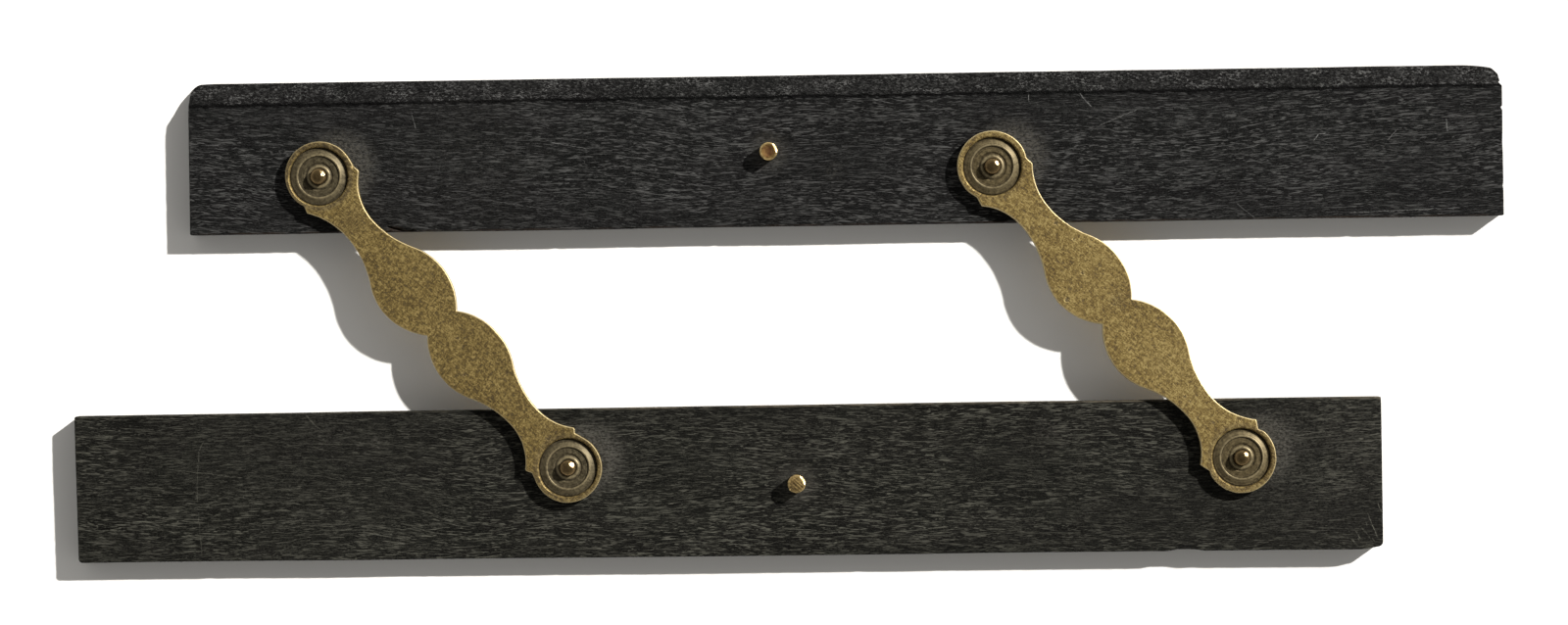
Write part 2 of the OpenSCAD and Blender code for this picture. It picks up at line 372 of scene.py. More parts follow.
def ebony(name, tint, seed, pivots, post, marks, patches, slope, streaks, cool):
    """Dense black wood: fine pale hairlines and scratches that run with the
    grain, dust round the fittings, and the scraped face of a bevel."""
    s = Shader(name)
    # the grain wanders a little, and leans by a different amount along the blade
    wander = s.noise(s.mapped(s.mm, (0.025, 0.05, 0.05), move=(seed, 0, 0)), 1.0, 1.0)
    bend = s.add(s.mul(s.x, slope[0]), s.mul(s.mul(s.x, s.x), slope[1]), s.mul(wander, 6.0))
    y = s.math("SUBTRACT", s.y, bend)
    grain = s.vec(s.x, y, s.z)

    broad = s.noise(s.mapped(grain, (0.045, 0.30, 0.30), move=(seed, 3, 1)), 1.0, 2.0, 0.55)
    band = s.noise(s.mapped(grain, (0.16, 2.1, 2.1), move=(seed, 7, 2)), 1.0, 3.0, 0.62)
    fibre = s.noise(s.mapped(grain, (0.70, 6.8, 6.8), move=(seed, 1, 5)), 1.0, 2.0, 0.62, 0.3)
    grains = s.noise(s.mapped(grain, (3.0, 5.8, 5.8), move=(seed, 4, 4)), 1.0, 2.0, 0.68)
    tone = s.add(s.mul(band, 0.13), s.mul(fibre, 0.24), s.mul(grains, 0.51), s.mul(broad, 0.12))

    # hairlines: where a long field crosses its middle, broken up by another
    field = s.noise(s.mapped(grain, (0.10, 1.35, 1.35), move=(seed, 9, 4)), 1.0, 2.0, 0.55, 0.2)
    gate = s.noise(s.mapped(grain, (0.30, 2.2, 2.2), move=(seed, 2, 8)), 1.0, 1.0, 0.5)
    hair = s.mul(s.hairline(field, 0.036), s.span(gate, 0.52, 0.60))
    field2 = s.noise(s.mapped(s.mm, (0.20, 1.25, 1.25), turn=-9 + slope[2], move=(seed, 6, 2)), 1.0, 2.0, 0.6, 0.4)
    hair2 = s.mul(s.hairline(field2, 0.032), s.span(gate, 0.46, 0.38))
    hair2 = s.mul(hair2, s.span(fibre, 0.38, 0.50, 0.3, 1.0))
    # short bright pores and cross scratches
    pores = s.noise(s.mapped(grain, (0.48, 4.4, 4.4), move=(seed, 11, 9)), 1.0, 1.0, 0.5, 0.4)
    cross = s.noise(s.mapped(s.mm, (0.50, 3.4, 3.4), turn=15 + slope[2], move=(seed, 5, 5)), 1.0, 1.0, 0.5, 0.8)
    dash = s.mul(s.span(pores, 0.62, 0.70), streaks)
    dash2 = s.mul(s.span(cross, 0.635, 0.72), 0.8)
    # a closer set of fainter lines between them
    field4 = s.noise(s.mapped(grain, (0.17, 2.6, 2.6), move=(seed, 19, 3)), 1.0, 2.0, 0.5, 0.35)
    gate2 = s.noise(s.mapped(grain, (0.35, 1.4, 1.4), move=(seed, 8, 13)), 1.0, 1.0, 0.5)
    hair3 = s.mul(s.hairline(field4, 0.045), s.span(gate2, 0.52, 0.60), 0.45)
    line = s.math("MAXIMUM", s.math("MAXIMUM", s.mul(hair, 0.85), s.mul(hair2, 0.7)), s.math("MAXIMUM", dash, dash2))
    line = s.math("MAXIMUM", line, hair3)
    where = s.noise(s.mapped(s.mm, (0.03, 0.07, 0.09), move=(seed, 2, 8)), 1.0, 1.0)
    line = s.mul(line, s.span(where, 0.34, 0.62, 0.5, 1.0))

    # and thin dark lines of open grain
    field3 = s.noise(s.mapped(grain, (0.13, 1.5, 1.5), move=(seed, 14, 6)), 1.0, 2.0, 0.55, 0.2)
    seam = s.mul(s.hairline(field3, 0.030), s.span(gate, 0.50, 0.42), 0.8)

    # marks of their own: (from, to, width, strength)
    ragged = s.noise(s.mapped(s.mm, (1.6, 1.6, 1.6), move=(seed, 0, 0)), 1.0, 1.0)
    broken = s.span(s.noise(s.mapped(s.mm, (2.5, 2.5, 2.5)), 1.0, 0.0), 0.32, 0.55, 0.35, 1.0)
    scar = None
    for a, b, width, power in marks:
        m = s.mul(s.stroke(a, b, width, ragged), power)
        scar = m if scar is None else s.math("MAXIMUM", scar, m)
    scar = s.mul(scar, broken, s.span(s.z, 0.2, 0.7))

    # dust round the pivots and the post
    speck = s.noise(s.mapped(s.mm, (2.0, 2.5, 2.2), move=(0, seed, 0)), 1.0, 3.0, 0.72)
    dust = None
    for p in pivots:
        # most of it lies on the side that the arm doesn't sweep
        _, d = s.from_centre(p)
        _, side = s.from_centre((p[0] + 3.4, p[1] + 1.6))
        ring = s.mul(s.span(d, 5.2, 6.2), s.span(side, 8.4, 3.2, 0.0, 1.15, "SMOOTHERSTEP"))
        dust = ring if dust is None else s.math("ADD", dust, ring)
    dust = s.mul(dust, s.span(speck, 0.40, 0.62, 0.20, 1.0))
    _, d = s.from_centre(post)
    about = s.mul(s.span(d, 4.6, 1.6), s.span(speck, 0.34, 0.66, 0.2, 1.0), 0.6)
    dust = s.math("ADD", dust, about)
    for centre, radius, power in patches:
        _, d = s.from_centre(centre)
        dust = s.math("ADD", dust, s.mul(s.span(d, radius, radius * 0.15), power,
                                         s.span(speck, 0.44, 0.64)))
    dust = s.mul(s.math("MINIMUM", dust, 1.0), s.span(s.z, BLADE_T - 0.7, BLADE_T - 0.25))

    # the bevel's face is rough from the scraper, with a dark ragged line at its break
    past = s.attr("past_break")
    jag = s.mul(s.math("SUBTRACT", s.noise(s.mapped(s.mm, (0.9, 1.3, 0.9)), 1.0, 3.0, 0.7), 0.5), 1.5)
    past = s.math("ADD", past, jag)
    bevel = s.span(past, 0.0, 0.30)
    break_line = s.mul(s.span(past, -0.40, -0.12), s.span(past, 0.56, 0.30))
    scrape = s.noise(s.mapped(s.mm, (1.6, 2.9, 2.9), turn=14, move=(seed, 0, 3)), 1.0, 3.0, 0.66, 0.7)
    curl = s.noise(s.mapped(s.mm, (1.0, 1.7, 1.7), move=(seed, 6, 3)), 1.0, 1.0, 0.5, 0.6)
    curls = s.mul(s.hairline(curl, 0.060), s.span(scrape, 0.44, 0.56))
    cluster = s.noise(s.mapped(s.mm, (0.22, 0.5, 0.5), move=(seed, 1, 1)), 1.0, 2.0)
    fleck = s.mul(s.math("MAXIMUM", s.span(scrape, 0.56, 0.66), s.mul(curls, 0.9)),
                  s.span(cluster, 0.42, 0.60, 0.22, 1.0))

    ink, dark, mid, pale, chalk = tint
    colour = s.ramp(tone, [(0.40, ink), (0.472, dark), (0.540, mid), (0.610, pale), (0.70, tuple(c * 0.55 for c in chalk))])
    colour = s.mix(seam, colour, ink)
    colour = s.mix(line, colour, chalk)
    colour = s.mix(scar, colour, tuple(c * 2.0 for c in chalk))
    rough_face = s.ramp(s.add(s.mul(scrape, 0.62), s.mul(grains, 0.22), s.mul(broad, 0.16)),
                        [(0.40, ink), (0.465, dark), (0.525, mid), (0.58, pale), (0.66, tuple(c * 0.55 for c in chalk))])
    # more of it towards the right-hand end
    rough_face = s.mix(s.mul(fleck, s.span(s.x, -70.0, 90.0, 0.74, 1.0)), rough_face, cool[1])
    colour = s.mix(bevel, colour, rough_face)
    colour = s.mix(s.mul(break_line, 0.94), colour, tuple(c * 0.4 for c in ink))
    # worn edges, and on the lower blade a painted highlight along the sunlit inner edge
    colour = s.mix(s.attr("wear_and_sheen"), colour, cool[0])
    colour = s.mix(s.mul(dust, 0.62), colour, (0.090, 0.085, 0.073))

    flat = s.add(s.mul(band, 0.5), s.mul(fibre, 0.9), s.mul(line, 0.06), s.mul(broad, 0.5))
    height = s.math("ADD", s.mul(flat, s.span(bevel, 0, 1, 1, 0.2)),
                    s.mul(bevel, s.add(s.mul(scrape, 3.3), s.mul(curl, 1.1))))
    rough = s.math("ADD", s.span(tone, 0.40, 0.60, 0.50, 0.64), s.mul(s.math("MAXIMUM", dust, bevel), 0.12))
    return s.finish(colour, rough, s.bump(height, 0.20), specular=0.05)


def brass(name, seed, tones, spots, turn, worn_colour, smudges=(), metallic=0.55):
    """Aged brass plate: a fine mottle of brown and yellow over faint brush
    lines, dark spots, and rubbed bright edges. tones run from dark to bright."""
    s = Shader(name)
    lie = s.mapped(s.mm, (1, 1, 1), turn=turn, move=(seed, seed * 0.37, 0))
    patch = s.noise(s.mapped(lie, (0.10, 0.14, 0.1)), 1.0, 2.0, 0.6)
    mottle = s.noise(s.mapped(lie, (1.5, 2.0, 1.6), move=(3, 1, 0)), 1.0, 3.0, 0.74, 0.5)
    grit = s.noise(s.mapped(lie, (3.8, 4.6, 4.0), move=(1, 8, 0)), 1.0, 2.0, 0.65, 0.4)
    brush = s.noise(s.mapped(lie, (0.6, 6.0, 3.0), move=(0, 5, 0)), 1.0, 2.0, 0.6)
    brush2 = s.noise(s.mapped(lie, (5.2, 0.7, 3.0), move=(2, 2, 0)), 1.0, 1.0, 0.6)
    weave = s.add(s.mul(mottle, 0.46), s.mul(grit, 0.26), s.mul(brush, 0.14), s.mul(brush2, 0.14))
    weave = s.math("ADD", weave, s.mul(s.math("SUBTRACT", patch, 0.5), -0.10))
    colour = s.ramp(weave, [(0.418, tones[0]), (0.468, tones[1]), (0.515, tones[2]), (0.578, tones[3])])
    pits = s.mul(s.span(s.cells(s.mapped(lie, (0.42, 0.5, 0.5), move=(7, 3, 0)), 1.0), 0.17, 0.05),
                 s.span(grit, 0.40, 0.54), s.span(patch, 0.40, 0.60, 0.25, 1.0))
    stain = pits
    wobble = s.mul(s.math("SUBTRACT", grit, 0.5), 1.1)
    for centre, radius, power in spots:
        _, d = s.from_centre(centre)
        d = s.math("ADD", d, wobble)
        stain = s.math("MAXIMUM", stain, s.mul(s.span(d, radius, radius * 0.35), power))
    for centre, radius, power in smudges:
        _, d = s.from_centre(centre)
        d = s.math("ADD", d, s.mul(wobble, 2.5))
        stain = s.math("MAXIMUM", stain, s.mul(s.span(d, radius, radius * 0.1), power,
                                               s.span(mottle, 0.40, 0.58, 0.2, 1.0)))
    colour = s.mix(s.mul(stain, 0.85), colour, srgb(58, 47, 30))

    edge = s.attr("edge")
    rubbed_and_sheen = s.math("SUBTRACT", s.span(edge, 0.26, 0.03), s.mul(s.math("SUBTRACT", mottle, 0.42), 1.2),
                    clamp=True)
    colour = s.mix(s.mul(rubbed_and_sheen, 0.70), colour, worn_colour)
    # the dark mix here: tarnish round the rims and on the walls, and painted shade down each recess wall and its mouth
    grime_and_shade = s.attr("grime_and_shade")
    colour = s.mix(s.mul(grime_and_shade, 0.78), colour, s.mix(s.span(mottle, 0.42, 0.58), srgb(46, 38, 25), srgb(84, 73, 53)))

    rough = s.math("ADD", s.span(weave, 0.42, 0.58, 0.58, 0.44), s.mul(stain, 0.2))
    rough = s.math("SUBTRACT", rough, s.mul(rubbed_and_sheen, 0.12))
    rough = s.math("ADD", rough, s.mul(grime_and_shade, 0.2), clamp=True)
    height = s.add(s.mul(mottle, 0.9), s.mul(grit, 0.5), s.mul(brush, 0.3), s.mul(brush2, 0.25))
    height = s.math("SUBTRACT", height, s.mul(stain, 0.5))
    return s.finish(colour, rough, s.bump(height, 0.050), metallic=metallic, specular=0.4)


def turned_brass(name, centre, seed, tones, bright, metallic=0.7, gloss=0.46, dirt_and_shade=(36, 30, 21)):
    """Brass from the lathe, tarnished grey-brown: fine rings about its axis,
    dirt and painted shade in the grooves and hollows, and rubbed ridges."""
    s = Shader(name)
    rel, d = s.from_centre(centre)
    run = s.noise(s.mapped(rel, (0.8, 0.8, 0.8), move=(seed, 0, 0)), 1.0, 2.0, 0.6)
    tool = s.noise(s.vec(s.mul(d, 6.0), s.mul(run, 0.8), float(seed)), 1.0, 2.0, 0.6)
    mottle = s.noise(s.mapped(rel, (1.7, 1.7, 1.7), move=(seed, 3, 0)), 1.0, 3.0, 0.7, 0.8)
    tone = s.add(s.mul(tool, 0.40), s.mul(mottle, 0.60))
    colour = s.ramp(tone, [(0.38, tones[0]), (0.50, tones[1]), (0.62, tones[2])])
    ridge = s.attr("ridge")
    colour = s.mix(s.mul(ridge, s.span(mottle, 0.3, 0.6, 0.4, 1.0)), colour, bright)
    grime_and_shade = s.attr("grime_and_shade")
    colour = s.mix(s.mul(grime_and_shade, s.span(mottle, 0.3, 0.65, 1.0, 0.6)), colour, srgb(*dirt_and_shade))
    rough = s.math("SUBTRACT", s.span(mottle, 0.3, 0.7, gloss, gloss + 0.12), s.mul(ridge, 0.14))
    rough = s.math("ADD", rough, s.mul(grime_and_shade, 0.25), clamp=True)
    height = s.add(s.mul(tool, 0.8), s.mul(mottle, 0.6))
    return s.finish(colour, rough, s.bump(height, 0.03), metallic=metallic, specular=0.12)


# --------------------------------------------------------------------------
# Blades

def stations(length, step, extra=()):
    """Places from 0 to length, close together at both ends and at extra."""
    near = [0, 0.012, 0.045, 0.1, 0.17, 0.26, 0.37, 0.52, 0.72, 0.98, 1.3, 1.7, 2.15]
    s = set(near) | {length - n for n in near}
    count = max(1, int(round((length - 2 * near[-1]) / step)))
    s |= set(np.linspace(near[-1], length - near[-1], count + 1))
    for at, reach, fine in extra:
        s |= set(np.arange(at - reach, at + reach + 1e-9, fine))
    s = sorted(v for v in s if 0 <= v <= length)
    out = [s[0]]
    for v in s[1:]:
        if v - out[-1] > 0.011:
            out.append(v)
    out[-1] = length
    return np.array(out)


def rounded_corners(a, b, length, width, radii):
    """Turns the corners of the rectangle (a, b) into quarter circles. radii
    are those at (0, 0), (length, 0), (0, width) and (length, width)."""
    a, b = a.copy(), b.copy()
    for k, r in enumerate(radii):
        fa, fb = k in (1, 3), k in (2, 3)
        p = length - a if fa else a.copy()
        q = width - b if fb else b.copy()
        u, v = r - p, r - q
        m = (u > 0) & (v > 0)
        uu, vv = u[m], v[m]
        big = np.maximum(uu, vv)
        th = np.where(uu >= vv, (math.pi / 4) * vv / big, math.pi / 2 - (math.pi / 4) * uu / big)
        p[m], q[m] = r - big * np.cos(th), r - big * np.sin(th)
        a = length - p if fa else p
        b = width - q if fb else q
    return a, b


def blade_mesh(length, width, thick, xs, ys, radii, top_drop, edge_r, low_r, place):
    """A closed blade on a grid of xs by ys, with b running from one long edge
    to the other. top_drop(a, b) is how far the top lies under thick, edge_r
    and low_r are the roundings, and place turns (a, b) into the frame."""
    A, B = np.meshgrid(xs, ys, indexing="ij")
    nx, ny = A.shape
    d = np.minimum(np.minimum(A, length - A), np.minimum(B, width - B))
    ra, rb = rounded_corners(A.ravel(), B.ravel(), length, width, radii)
    ra, rb = ra.reshape(nx, ny), rb.reshape(nx, ny)
    er = edge_r(A, B)
    lr = low_r(A, B)
    top = thick - top_drop(A, B) - round_drop(d, er)
    bottom = round_drop(d, lr)
    # a worn corner of the thin bevelled edge never goes below its own underside
    top = np.maximum(top, bottom + 0.24)
    X, Y = place(ra, rb)
    verts = [np.stack([X.ravel(), Y.ravel(), top.ravel()], 1),
             np.stack([X.ravel(), Y.ravel(), bottom.ravel()], 1)]
    n = nx * ny
    idx = np.arange(n).reshape(nx, ny)
    q = np.stack([idx[:-1, :-1], idx[1:, :-1], idx[1:, 1:], idx[:-1, 1:]], -1).reshape(-1, 4)
    # the rim of the grid, once round
    rim = np.concatenate([idx[:, 0], idx[-1, 1:], idx[-2::-1, -1], idx[0, -2:0:-1]])
    # which way the grid faces in the frame
    p = verts[0]
    f = q[len(q) // 2]
    flip = np.cross(p[f[1]] - p[f[0]], p[f[3]] - p[f[0]])[2] < 0
    faces = [q[:, ::-1] if flip else q, (q if flip else q[:, ::-1]) + n]
    # side walls, with the faint waves of a hand plane
    rows = 5
    m = len(rim)
    start = 2 * n
    tz, bz = top.ravel()[rim], bottom.ravel()[rim]
    rx, ry = X.ravel()[rim], Y.ravel()[rim]
    cx, cy = np.roll(rx, -1) - np.roll(rx, 1), np.roll(ry, -1) - np.roll(ry, 1)
    ln = np.hypot(cx, cy) + 1e-9
    nxn, nyn = cy / ln, -cx / ln
    mid = np.array([X.mean(), Y.mean()])
    if np.mean((rx - mid[0]) * nxn + (ry - mid[1]) * nyn) < 0:
        nxn, nyn = -nxn, -nyn
    wall = []
    for k in range(1, rows):
        t = k / rows
        z = tz * (1 - t) + bz * t
        out = 0.025 * math.sin(math.pi * t) * (0.6 + noise(rx / 5.0, z * 1.5 + ry / 5.0, 41)) \
            + 0.010 * noise(rx * 1.7 + ry * 1.7, z * 4, 43)
        wall.append(np.stack([rx + nxn * out, ry + nyn * out, z], 1))
    verts += wall
    ring = [rim] + [np.arange(m) + start + m * k for k in range(rows - 1)] + [rim + n]
    sides = []
    for a_, b_ in zip(ring, ring[1:]):
        s_ = np.stack([a_, np.roll(a_, -1), np.roll(b_, -1), b_], 1)
        sides.append(s_ if flip else s_[:, ::-1])
    faces += sides
    edge = np.concatenate([d.ravel(), np.full(n, 3.0) * 0 + np.minimum(d.ravel() + 0.3, 3.0),
                           np.full(m * (rows - 1), 0.5)])
    return np.concatenate(verts), np.concatenate(faces), edge, (A, B, start, rim, rows)


def drilled(ob, side):
    """Cuts the pin holes, the pockets of the rivet plates and the post's hole."""
    tools = []
    for c in CORNERS:
        if c.startswith(side):
            lo, hi = box_mm(c + "_rivet_plate")
            r, z = (hi[0] - lo[0]) / 2 + 0.03, float(hi[2])
            tools.append((PIVOT[c], [(0, -1), (r, -1), (r, z), (1.41, z), (1.41, BLADE_T + 1), (0, BLADE_T + 1)]))
    z = float(box_mm(side + "_finger_post")[0][2])
    tools.append((POST[side], [(0, z), (1.22, z), (1.22, BLADE_T + 1), (0, BLADE_T + 1)]))
    verts, faces = [], []
    for (x, y), profile in tools:
        v, f = turned(profile, 64)
        faces += [tuple(i + len(verts) for i in q) for q in f]
        verts += (v + (x, y, 0)).tolist()
    me = bpy.data.meshes.new("drill")
    me.from_pydata((np.array(verts) * MM).tolist(), [], faces)
    me.update()
    tool = bpy.data.objects.new("drill", me)
    bpy.context.scene.collection.objects.link(tool)
    mod = ob.modifiers.new("hole", "BOOLEAN")
    mod.operation, mod.solver, mod.object = "DIFFERENCE", "MANIFOLD", tool
    bpy.context.view_layer.objects.active = ob
    bpy.ops.object.modifier_apply(modifier=mod.name)
    bpy.data.objects.remove(tool)
    bpy.data.meshes.remove(me)


def make_upper_blade(material):
    x0, x1, y0, y1 = U_LO[0], U_HI[0], U_LO[1], U_HI[1]
    length, width = x1 - x0, y1 - y0
    bevel_w, bevel_edge = 4.0, 0.8
    t0 = width - bevel_w
    xs = stations(length, 0.42, extra=[(36.8, 3.4, 0.10), (length - 1.0, 1.6, 0.12)])
    ys = np.unique(np.concatenate([stations(width, 0.50, extra=[(t0, 0.55, 0.09), (t0 + 2.0, 1.4, 0.24),
                                                                (19.3, 0.6, 0.12)]), [0.35, 0.45, 0.6, 0.85]]))

    def break_at(a):
        return t0 + 0.10 * noise(a / 9.0, 0 * a, 3) + 0.07 * noise(a / 1.3, 0 * a, 4) \
            - 0.18 * smooth(a, 60, 20) + 0.12 * smooth(a, 170, 215)

    def top_drop(a, b):
        past = b - break_at(a)
        soft = 0.10 + 0.05 * noise(a / 4.0, b, 6)
        slope = (BLADE_T - bevel_edge) / bevel_w
        drop = slope * soft * np.logaddexp(0, past / soft)
        on = smooth(past, 0.0, 0.5)
        drop = drop + on * (0.08 + 0.085 * layered(a / 1.0, b / 0.6, 8) + 0.055 * noise(a / 0.42, b / 0.34, 9))
        # a narrow torn step just inside the break
        drop = drop + 0.10 * np.exp(-((past + 0.05) / 0.17) ** 2) * np.clip(0.5 + 0.8 * noise(a / 0.9, 0 * a, 12), 0, 1.2)
        # the flat is a little worn and no longer quite true
        drop = drop + 0.020 * (1 + noise(a / 22.0, b / 9.0, 14)) + 0.010 * noise(a / 3.0, b / 0.45, 15)
        # both ends are rubbed down, the left one more
        drop = drop + 0.35 * smooth(a, 2.6, 0) * smooth(b, 19, 26) + 0.14 * smooth(length - a, 2.2, 0) * smooth(b, 21, 27)
        # a splinter lost from the inner edge: a narrow torn channel that runs out into it
        lane = 0.80 - 0.62 * smooth(a, 34.3, 37.4) + 0.10 * noise(a / 0.6, 0 * a, 17)
        near = np.exp(-((b - lane) / (0.13 + 0.07 * smooth(a, 35.5, 37.0))) ** 2)
        drop = drop + 0.75 * near * smooth(a, 34.0, 35.0) * smooth(a, 40.2, 37.6)
        low = smooth(b, lane + 0.05, lane - 0.15) * smooth(a, 35.0, 36.4) * smooth(a, 39.5, 37.8)
        drop = drop + 0.32 * low * (0.8 + 0.4 * noise(a / 0.4, b / 0.3, 18))
        # and small ones further along it
        for at_, deep in ((42.4, 0.18), (68.0, 0.12), (96.0, 0.16), (151.0, 0.10), (207.0, 0.14)):
            drop = drop + deep * np.exp(-((a - at_) / 0.5) ** 2) * smooth(b, 0.55, 0.05)
        return drop

    def edge_r(a, b):
        r = 0.21 + 0.05 * noise(a / 6.0, b / 6.0, 21) + 0.05 * noise(a / 0.8, b / 0.8, 22)
        r = r + 0.10 * smooth(b, width - 1.5, width) + 0.12 * smooth(a, 6, 0) * smooth(b, 20, 26)
        return np.clip(r, 0.10, 0.5)

    def low_r(a, b):
        return np.clip(0.16 + 0.05 * noise(a / 5.0, b / 5.0, 24), 0.08, 0.4)

    def place(a, b):
        x, y = x0 + a, y0 + b
        # nicks in the right end, and its bevelled part set back a little
        for at_, deep, wide in ((width - 3.20, 0.30, 0.16), (18.85, 0.26, 0.20), (5.2, 0.12, 0.4), (13.0, 0.08, 1.2)):
            x = x - deep * np.exp(-((b - at_) / wide) ** 2) * smooth(a, length - 0.9, length)
        x = x - 0.24 * smooth(b, t0 + 0.1, t0 + 0.5) * smooth(a, length - 1.6, length)
        # the worn bevel corner at the right, and a wandering inner edge
        y = y - 0.66 * np.clip((a - length + 7.0) / 6.4, 0, 1) ** 2 * smooth(b, width - 4, width)
        y = y - 0.15 * smooth(a, 6.0, 0.0) ** 2 * smooth(b, width - 4, width)
        y = y + 0.05 * noise(a / 14.0, 0 * a, 27) * smooth(b, 3.0, 0.0)
        return x, y

    v, f, edge, (A, B, start, rim, rows) = blade_mesh(
        length, width, BLADE_T, xs, ys, (0.22, 0.25, 2.0, 1.5), top_drop, edge_r, low_r, place)
    past_top = (B - break_at(A)).ravel()
    past = np.concatenate([past_top, np.full(len(past_top), -5.0)]
                          + [np.full(len(rim), -5.0)] * (rows - 1))
    # the narrow outer edge below the bevel is as rough as the bevel
    out_edge = np.tile((B.ravel()[rim] > width - 0.3) * 1.0, rows - 1)
    past[2 * len(past_top):] = np.where(out_edge > 0, 1.0, -5.0)
    # a thin brown line along the inner edge
    near = smooth(B, 0.34, 0.10) * np.clip(0.45 + 0.5 * noise(A / 3.0, 0 * A, 30), 0, 1) * 0.75
    spot = np.exp(-((A - 35.6) / 1.0) ** 2 - ((B - 0.55) / 0.25) ** 2)
    wear_and_sheen = with_walls(np.maximum(near, 0.8 * spot), rim, rows, 0.35)
    ob = add_mesh("upper_blade_wood", v, f, material, 40, {"wear_and_sheen": wear_and_sheen, "past_break": past})
    drilled(ob, "upper")
    return stand_for(ob, "upper_blade")


def with_walls(top, rim, rows, share):
    """An attribute of the top, less of it on the walls, and little below."""
    top = top.ravel()
    return np.concatenate([top, top * 0.3, np.tile(top[rim] * share, rows - 1)])


def make_lower_blade(material):
    x0, x1, y0, y1 = L_LO[0], L_HI[0], L_LO[1], L_HI[1]
    length, width = x1 - x0, y1 - y0
    taper, skew = 1.0, 0.4
    xs = stations(length, 0.42, extra=[(length - 1.0, 1.4, 0.14), (192.6, 3.4, 0.16)])
    ys = stations(width, 0.46)

    def top_drop(a, b):
        drop = 0.022 * (1 + noise(a / 25.0, b / 8.0, 51)) + 0.010 * noise(a / 3.0, b / 0.45, 52)
        # rubbed corners, and dents along the outer edge
        drop = drop + 0.16 * smooth(np.hypot(length - a, width - b), 3.5, 0.5)
        drop = drop + 0.12 * smooth(np.hypot(length - a, b), 1.6, 0.2)
        for at_, deep, wide in ((27.0, 0.10, 0.7), (88.0, 0.08, 0.5), (141.0, 0.10, 0.6), (199.5, 0.14, 1.3)):
            drop = drop + deep * np.exp(-((a - at_) / wide) ** 2) * smooth(b, width - 0.8, width)
        for at_, deep, wide in ((33.0, 0.12, 0.5), (74.0, 0.10, 0.8), (118.0, 0.12, 0.6), (163.0, 0.10, 0.5)):
            drop = drop + deep * np.exp(-((a - at_) / wide) ** 2) * smooth(b, 0.5, 0.05)
        return drop

    def edge_r(a, b):
        r = 0.22 + 0.05 * noise(a / 7.0, b / 7.0, 55) + 0.05 * noise(a / 0.9, b / 0.9, 56)
        r = r + 0.08 * smooth(b, 0.6, 0.0)
        return np.clip(r, 0.10, 0.45)

    def low_r(a, b):
        return np.clip(0.16 + 0.05 * noise(a / 5.0, b / 5.0, 58), 0.08, 0.4)

    def place(a, b):
        w = (width - taper) + taper * a / length
        bb = b * w / width
        x = x0 + skew * b / width + a * (1 - skew * b / width / length)
        y = y1 - bb
        # the outer right corner is rubbed away over some 4 mm
        y = y + 0.50 * smooth(a, length - 4.6, length) ** 1.4 * smooth(b, width - 3, width)
        # and the outer edge isn't quite straight
        y = y + (0.05 * noise(a / 16.0, 0 * a, 60)
                 + 0.30 * smooth(a, 190.0, 192.4) * smooth(a, 197.2, 194.4)) * smooth(b, width - 3, width)
        y = y + 0.04 * noise(a / 18.0, 0 * a, 61) * smooth(b, 3, 0)
        return x, y

    v, f, edge, (A, B, start, rim, rows) = blade_mesh(
        length, width, BLADE_T, xs, ys, (0.40, 0.22, 0.75, 0.85), top_drop, edge_r, low_r, place)
    # a painted highlight along the sunlit inner edge and its face, stronger towards the right, and the right-hand
    # corners rubbed pale
    rubbed_and_sheen = np.clip(0.35 + 0.6 * noise(A / 4.0, 0 * A, 63) + 0.35 * noise(A / 0.8, 0 * A, 64), 0, 1)
    near = smooth(B, 0.40, 0.12) * rubbed_and_sheen * (0.25 + 0.6 * smooth(A, 55, 110)) * (B < 1)
    corner = np.exp(-(np.hypot(length - A, B) / 0.55) ** 2)
    wear_and_sheen = with_walls(np.maximum(near, corner), rim, rows, 0.3)
    ob = add_mesh("lower_blade_wood", v, f, material, 40,
                  {"wear_and_sheen": wear_and_sheen, "past_break": np.full(len(v), -5.0)})
    drilled(ob, "lower")
    return stand_for(ob, "lower_blade")


# --------------------------------------------------------------------------
# Arms

ARM_LEN = float(np.linalg.norm(PIVOT["upper_left"] - PIVOT["lower_left"]))
NECK_X, NECK_H, BULB_X, BULB_H, BULB_R = 11.6, 2.7, 25.6, 6.4, 11.2
NECK_R = ((BULB_X - NECK_X) ** 2 + (NECK_H + BULB_R - BULB_H) ** 2 - BULB_R ** 2) / (2 * (BULB_H - NECK_H))
TOUCH_X = BULB_X - (BULB_X - NECK_X) * BULB_R / (BULB_R + NECK_R)
RECESS_R, FLOOR_Z, BORE_R = 5.05, ARM_TOP - 0.75, 1.45


def body_half(x):
    """Half the width of an arm between its necks, x from the upper pivot."""
    x = np.minimum(x, ARM_LEN - x)
    hollow = NECK_H + NECK_R - np.sqrt(np.maximum(NECK_R ** 2 - (x - NECK_X) ** 2, 0))
    swell = BULB_H - BULB_R + np.sqrt(np.maximum(BULB_R ** 2 - (x - BULB_X) ** 2, 0))
    return np.where(x < TOUCH_X, hollow, swell)


